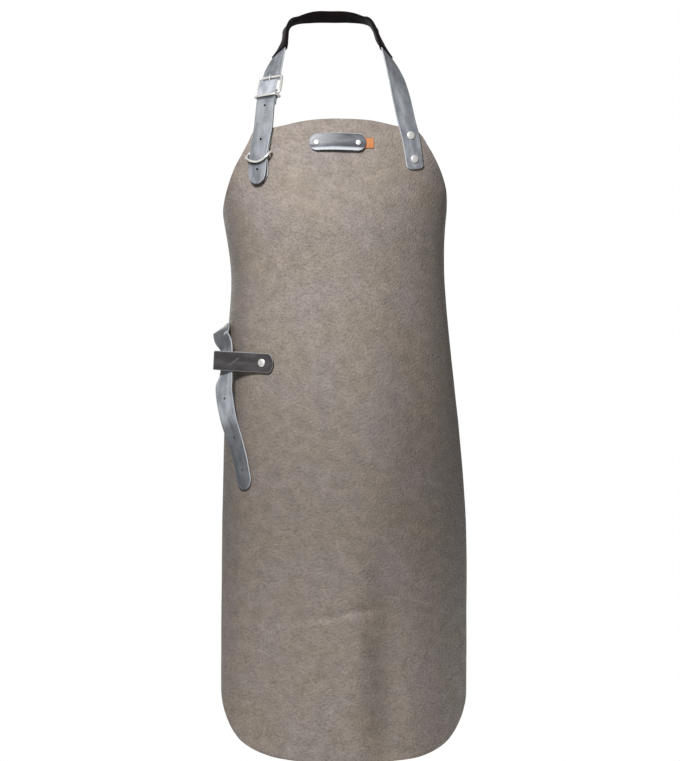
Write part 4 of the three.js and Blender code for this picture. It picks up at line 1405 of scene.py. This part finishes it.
@dataclass
class Buckle:
    """The short strap with the buckle's frame, prong and keeper, and the oval ring below."""

    hide: Hide
    seat: BuckleSeat
    frame_wire: float = 0.0021
    keeper_wire: float = 0.00165
    frame_length: float = 0.030
    frame_width: float = 0.0334
    frame_shift: float = 0.0002
    frame_corner: float = 0.0026
    keeper_drop: float = 0.007
    keeper_lift: float = 0.0015
    keeper_lean: float = 0.5
    keeper_room: float = 0.0021
    keeper_depth: float = 0.0085
    keeper_corner: float = 0.003
    prong_radius: float = 0.001
    fold_room: float = 0.0001
    eye_room: float = 0.0002
    ring_seat: tuple[float, float] = (-0.097, 0.203)
    shade_depths: tuple[float, float] = (0.0032, 0.0042)
    shade_reach: float = 0.0022
    shade_drop: float = 0.0012
    shade_points: int = 420

    def short_route(self) -> Route:
        """The short strap's line: up the bib and round the rear bar."""
        seat = self.seat
        fold = self.frame_wire + GAP + STRAP / 2 + self.fold_room
        places = [self.hide.front(*row) for row in SHORT_SEAT]
        places += [Place(seat.at(0, along, out), seat.out) for along, out in SHORT_FRONT]
        for turn in np.radians(range(90, -91, -30)):
            face = seat.out * math.sin(turn) + seat.up * math.cos(turn)
            places.append(Place(seat.middle + face * fold, face))
        places += [Place(seat.at(0, along, out), -seat.out) for along, out in SHORT_BACK]
        return Route(places)

    def build(self, leather: Material, nickel: Material) -> None:
        """Builds the short strap and the wire pieces."""
        seat = self.seat
        band = Band(self.short_route(), start_round=0.008, end_round=0.004)
        adopt(band.build("buckle_strap_leather", leather), "buckle_strap")
        half_width, half_length = self.frame_width / 2, self.frame_length / 2
        middle = seat.at(self.frame_shift, half_length, 0)
        corners = rounded_rectangle(middle, seat.right, seat.up, half_width, half_length, self.frame_corner)
        self.wire("buckle_frame", Spline(corners, closed=True), self.frame_wire, nickel)
        eye = self.frame_wire + GAP + self.prong_radius + self.eye_room
        turns = np.radians((-160, -120, -80, -40, 0))
        prong = [seat.at(0, eye * math.cos(turn), eye * math.sin(turn)) for turn in turns]
        prong += [seat.at(0, along, out) for along, out in PRONG_RUN]
        line = Spline(np.array(prong))
        self.wire("buckle_prong", line, self.prong_radius, nickel, steps=64, closed=False)
        self.wire("buckle_keeper", self.keeper_line(), self.keeper_wire, nickel)
        self.wire("strap_ring", self.ring_line(), self.keeper_wire, nickel)

    def keeper_line(self) -> Spline:
        """The keeper's wire, round both layers of strap."""
        seat = self.seat
        middle, rise = seat.at(0, -self.keeper_drop, self.keeper_lift), seat.out - seat.up * self.keeper_lean
        half_width = STRAP_WIDTH / 2 + self.keeper_room
        depth, corner = self.keeper_depth, self.keeper_corner
        return Spline(rounded_rectangle(middle, seat.right, rise, half_width, depth, corner), closed=True)

    def ring_line(self) -> Spline:
        """The loose ring's wire, sagging across the strap's end."""
        seat = self.hide.front(*self.ring_seat)
        right = unit(np.cross(vec(0, 0, 1), seat.face))
        across, out, down = np.array(RING_ROUTE).T[..., None]
        return Spline(seat.at + right * across + seat.face * out - vec(0, 0, 1) * down, closed=True)

    def wire_shade(self) -> Array:
        """Points on the strap's face just below the keeper and the ring, where their shadows are painted."""
        places = []
        lines = (self.keeper_line(), self.ring_line())
        normals = (self.seat.out, self.hide.front(*self.ring_seat).face)
        for line, normal, depth in zip(lines, normals, self.shade_depths):
            points = line.points(np.linspace(0, line.spans, self.shade_points))
            reach = points @ normal
            front = points[reach > reach.max() - self.shade_reach]
            places.append(front - normal * depth - vec(0, 0, self.keeper_wire + self.shade_drop))
        return np.concatenate(places)

    def wire(
        self, node: str, line: Spline, radius: float, nickel: Material, steps: int = 144, closed: bool = True
    ) -> None:
        """Builds one wire piece and lets it stand for its node.

        Args:
            node: the CAD node.
            line: the wire's middle.
            radius: of the wire.
            nickel: its finish.
            steps: how many sections it has.
            closed: whether it is a ring.
        """
        adopt(sweep_wire(line, radius, steps, f"{node}_wire", nickel, closed), node)


@dataclass
class Label:
    """The stadium-shaped leather patch, bowed off the bib, and the tab under its right end."""

    hide: Hide
    x: float = 0.0096
    drop: float = 0.190
    width: float = 0.025
    length: float = 0.080
    arch: float = 0.0016
    bow: float = 0.0012
    tilt: float = 0.00085
    curl: float = 0.0034
    # How strongly the painted highlight shows on the patch's lower lip
    lip_highlight: float = 0.85
    tab_inner: float = 0.033
    tab_outer: float = 0.051
    tab_height: float = 0.015
    tab_thickness: float = 0.0012
    tab_lift: float = 0.0005

    def build(self, leather: Material, orange: Material) -> None:
        """Builds the patch and the tab."""
        places = []
        for part in (-1, -0.6, -0.2, 0.2, 0.6, 1):
            swell = 1 - part * part
            lift = STRAP / 2 + GAP + self.bow * swell + self.tilt * (1 + part)
            drop = self.drop - self.arch * swell
            places.append(self.hide.front(self.x + part * self.length / 2, drop, lift))
        ends = {"start_round": self.width / 2, "end_round": self.width / 2}
        fine = {"step": 0.001, "columns": 24}
        patch = Band(Route(places), self.width, curl=self.curl, lip_highlight=self.lip_highlight, **ends, **fine)
        adopt(patch.build("label_patch_leather", leather), "label_patch")
        middle = (self.tab_inner + self.tab_outer) / 2
        lift = self.tab_thickness / 2 + self.tab_lift
        reaches = (self.tab_inner, middle, self.tab_outer)
        route = Route([self.hide.front(self.x + reach, self.drop, lift) for reach in reaches])
        ends = {"start_round": 0.001, "end_round": 0.0012}
        tab = Band(route, self.tab_height, self.tab_thickness, step=0.001, **ends)
        adopt(tab.build("label_tab_leather", orange), "label_tab")


@dataclass
class WaistTie:
    """The loop strap on the left hip, and the tie that comes round the back and hangs through it."""

    hide: Hide
    loop_x: float = -0.0935
    loop_drop: float = 0.497
    loop_rise: float = 0.05
    seat_angles: tuple[float, ...] = (100, 108, 116)
    seat_drop: float = 0.498
    seat_room: float = 0.0004
    back_from: float = 126
    back_to: float = 250
    back_step: float = 12.4
    back_reach: float = 0.0075
    back_depth: float = 0.116
    back_drop: float = 0.494
    back_climb: float = 0.036
    in_loop: tuple[float, float] = (0.0624, 0.0007)
    in_loop_face: tuple[float, float, float] = (-0.766, -0.643, 0.05)
    in_loop_rises: tuple[float, ...] = (0.021, 0.0, -0.018)

    def __post_init__(self) -> None:
        """Works out the loop's own directions."""
        self.loop_seat = self.hide.front(self.loop_x, self.loop_drop)
        way = unit(np.cross(self.loop_seat.face, vec(0, 0, 1)))
        self.loop_way = unit(way + vec(0, 0, self.loop_rise))

    def at_loop(self, along: float, out: float, rise: float = 0.0) -> Array:
        """A point by its place along the loop strap, out from the panel and up."""
        return self.loop_seat.at + self.loop_way * along + self.loop_seat.face * out + vec(0, 0, rise)

    def loop_route(self) -> Route:
        """The loop strap's line, folded back on itself at the left."""
        places = []
        last = len(LOOP_ROUTE) - 1
        for index, (along, out) in enumerate(LOOP_ROUTE):
            before = LOOP_ROUTE[max(index - 1, 0)]
            after = LOOP_ROUTE[min(index + 1, last)]
            face = self.loop_seat.face * (after[0] - before[0]) + self.loop_way * (before[1] - after[1])
            places.append(Place(self.at_loop(along, out), unit(face)))
        return Route(places)

    def tie_route(self) -> Route:
        """The tie's line from its rivet round the back, down through the loop."""
        lift = STRAP / 2 + GAP + self.seat_room
        places = [self.hide.place(angle, self.seat_drop, lift) for angle in self.seat_angles]
        for angle in np.arange(self.back_from, self.back_to + 1e-6, self.back_step):
            part = (angle - self.back_from) / (self.back_to - self.back_from)
            drop = self.back_drop - self.back_climb * part
            turn = math.radians(angle)
            mid_x, mid_y, half_width = (
                smooth_column(FORM, "drop", name, vec(drop))[0] for name in ("mid_x", "mid_y", "half_width")
            )
            reach = half_width + self.back_reach
            face = unit(vec(math.sin(turn) / reach, -math.cos(turn) / self.back_depth, 0))
            at = vec(mid_x + reach * math.sin(turn), mid_y - self.back_depth * math.cos(turn), -drop)
            places.append(Place(at, face))
        places += run_places(TIE_TURN)
        face = vec(*self.in_loop_face)
        places += [Place(self.at_loop(*self.in_loop, rise), face) for rise in self.in_loop_rises]
        places += run_places(TIE_HANG)
        return Route(places)

    def build(self, charcoal: Material, grey: Material) -> None:
        """Builds the loop and the tie."""
        loop = Band(self.loop_route(), start_round=0.009, end_round=0.004)
        adopt(loop.build("waist_loop_leather", charcoal), "waist_loop")
        route = self.tie_route()
        holes = [route.at_drop(drop, -1) for drop in TIE_HOLES]
        tie = Band(route, dimples=holes, tone_and_painted_light=TIE_TONE_AND_LIGHT).build("waist_tie_leather", grey)
        punch(tie, holes, charcoal)
        adopt(tie, "waist_tie")


@dataclass
class Rivets:
    """The capped rivets, each through the hide and the leather in front of it."""

    hide: Hide
    cap: float = 0.00575
    rise: float = 0.0020
    post: float = 0.0019
    back: float = 0.0045
    back_gap: float = 0.0007
    back_rise: float = 0.0012
    lift: float = 0.00035
    small_lift: float = 0.0009
    small_share: float = 0.66
    shoulder: float = 0.22

    def profile(self, row: RivetRow) -> list[tuple[float, float]]:
        """The outline of one rivet, as radius and height above the hide's outer face."""
        share = self.small_share if row.small else 1.0
        cap, rise, post, back = (size * share for size in (self.cap, self.rise, self.post, self.back))
        behind = -HIDE - self.back_gap
        front = row.stack + (self.small_lift if row.small else self.lift)
        outline = [
            (0.0, behind - self.back_rise),
            (back * 0.9, behind - self.back_rise),
            (back, behind - 0.0009),
            (back, behind - 0.0001),
            (back * 0.97, behind),
            (post, behind),
            (post, front),
            (cap * 0.96, front),
            (cap, front + rise * 0.1),
            (cap, front + rise * self.shoulder),
        ]
        for turn in (18, 32, 46, 60, 75):
            angle = math.radians(turn)
            share = self.shoulder + (1 - self.shoulder) * math.sin(angle)
            outline.append((cap * math.cos(angle) ** 0.8, front + rise * share))
        outline.append((0.0, front + rise))
        return outline

    def build(self, nickel: Material) -> None:
        """Spins each rivet and sets it in its place."""
        places = [(row, self.hide.front(row.x, row.drop)) for row in RIVETS]
        places.append((TIE_RIVET, self.hide.place(TIE_RIVET_ANGLE, TIE_RIVET.drop)))
        for row, place in places:
            mesh = bmesh.new()
            verts = [mesh.verts.new((radius, 0.0, height)) for radius, height in self.profile(row)]
            edges = [mesh.edges.new(pair) for pair in zip(verts, verts[1:])]
            turn = {"cent": (0, 0, 0), "axis": (0, 0, 1), "angle": 2 * math.pi, "steps": 40}
            bmesh.ops.spin(mesh, geom=verts + edges, use_merge=True, **turn)
            bmesh.ops.remove_doubles(mesh, verts=mesh.verts[:], dist=WELD)
            bmesh.ops.recalc_face_normals(mesh, faces=mesh.faces[:])
            for face in mesh.faces:
                face.smooth = True
            bmesh.ops.transform(mesh, matrix=place_matrix(place), verts=mesh.verts[:])
            piece = finish_piece(mesh, f"{row.name}_cap", nickel)
            piece.data.set_sharp_from_angle(angle=math.radians(50))
            adopt(piece, row.name)


@dataclass
class Studio:
    """Pale floor, soft lights and the camera, square to the front at the apron's middle height."""

    middle: Vector = field(default_factory=lambda: (CAD_BOX[0] + CAD_BOX[1]) / 2)
    tall: float = field(default_factory=lambda: CAD_BOX[1].z - CAD_BOX[0].z)
    lens: float = 180.0
    sensor: float = 36.0
    fill: float = 0.985
    floor_drop: float = 1.45
    floor_radius: float = 2.0
    floor_colour: str = "#efeeec"
    room_light: tuple[float, float] = (0.075, 0.4)

    def build(self) -> None:
        """Sets up the studio."""
        self.camera()
        self.world()
        self.floor()
        for row in LAMPS:
            self.lamp(row)
        bpy.context.scene.view_settings.view_transform = "Standard"

    def camera(self) -> None:
        """A long lens square to the apron's front."""
        data = bpy.data.cameras.new("camera")
        data.lens = self.lens
        data.sensor_width = self.sensor
        away = self.tall / self.fill / 2 * self.lens / (self.sensor / 2)
        camera = bpy.data.objects.new("camera", data)
        camera.location = (self.middle.x, self.middle.y - away, self.middle.z)
        camera.rotation_euler = (math.radians(90), 0, 0)
        bpy.context.scene.collection.objects.link(camera)
        bpy.context.scene.camera = camera

    def lamp(self, row: LampRow) -> None:
        """A square soft light that points at the apron's middle."""
        data = bpy.data.lights.new(row.name, "AREA")
        data.size = row.size
        data.energy = row.power
        lamp = bpy.data.objects.new(row.name, data)
        lamp.location = row.place
        lamp.visible_camera = False
        lamp.rotation_euler = (self.middle - Vector(row.place)).to_track_quat("-Z", "Y").to_euler()
        bpy.context.scene.collection.objects.link(lamp)

    def world(self) -> None:
        """White paper behind, and a weak even light from all round."""
        world = bpy.data.worlds.new("white_paper")
        bpy.context.scene.world = world
        world.use_nodes = True
        tree = world.node_tree
        path = add(tree, "LightPath").node.outputs
        gloss = add(tree, "MapRange", (path["Is Glossy Ray"], 0.0, 1.0, *self.room_light))
        strength = add(tree, "Math", (path["Is Camera Ray"], gloss), operation="MAXIMUM")
        fill(tree, tree.nodes["Background"], {"Strength": strength, "Color": (1.0, 1.0, 1.0, 1.0)})

    def floor(self) -> None:
        """A pale round floor below the hem."""
        material, tree, shader = new_material("pale_floor")
        fill(tree, shader, {"Base Color": linear(self.floor_colour), "Roughness": 0.9})
        mesh = bmesh.new()
        bmesh.ops.create_circle(mesh, cap_ends=True, segments=96, radius=self.floor_radius)
        bmesh.ops.translate(mesh, vec=(self.middle.x, self.middle.y, -self.floor_drop), verts=mesh.verts[:])
        finish_piece(mesh, "floor", material)


def main() -> None:
    """Builds the studio and then the apron, from the panel to the rivets."""
    logging.basicConfig(level=logging.INFO, format="%(message)s")
    Studio().build()
    hide, seat = Hide(), BuckleSeat()
    grey = WaxedStrap().make()
    charcoal = WaxedStrap(
        name="waxed_strap_leather_charcoal",
        ground="#343233",
        worn="#4d4a4b",
        cut_edge="#a3a3a6",
        flesh="#4a4849",
        scratch=(0.0, 0.062, -52.0, 0.02),
    ).make()
    dark = WaxedStrap(
        name="waxed_strap_leather_pressed",
        ground="#44464b",
        worn="#767980",
        cut_edge="#cfd5dc",
        roughness=0.38,
    ).make()
    orange = WaxedStrap(
        name="dyed_calf_leather_orange",
        ground="#b26a35",
        worn="#c4824c",
        cut_edge="#9a4f20",
        flesh="#d9803f",
        roughness=0.55,
    ).make()
    wire = NickelPlate("nickel_plated_wire").make()
    cap = NickelPlate("nickel_plated_cap", colour="#f1efeb", roughness=0.34, metallic=0.7).make()
    ApronPanel(hide).build(PebbledHide().make())
    buckle = Buckle(hide, seat)
    NeckStrap(hide, seat).build(grey, BlackFelt().make(), buckle.wire_shade())
    buckle.build(grey, wire)
    Label(hide).build(dark, orange)
    WaistTie(hide).build(charcoal, grey)
    Rivets(hide).build(cap)


if __name__ == "__main__":
    main()
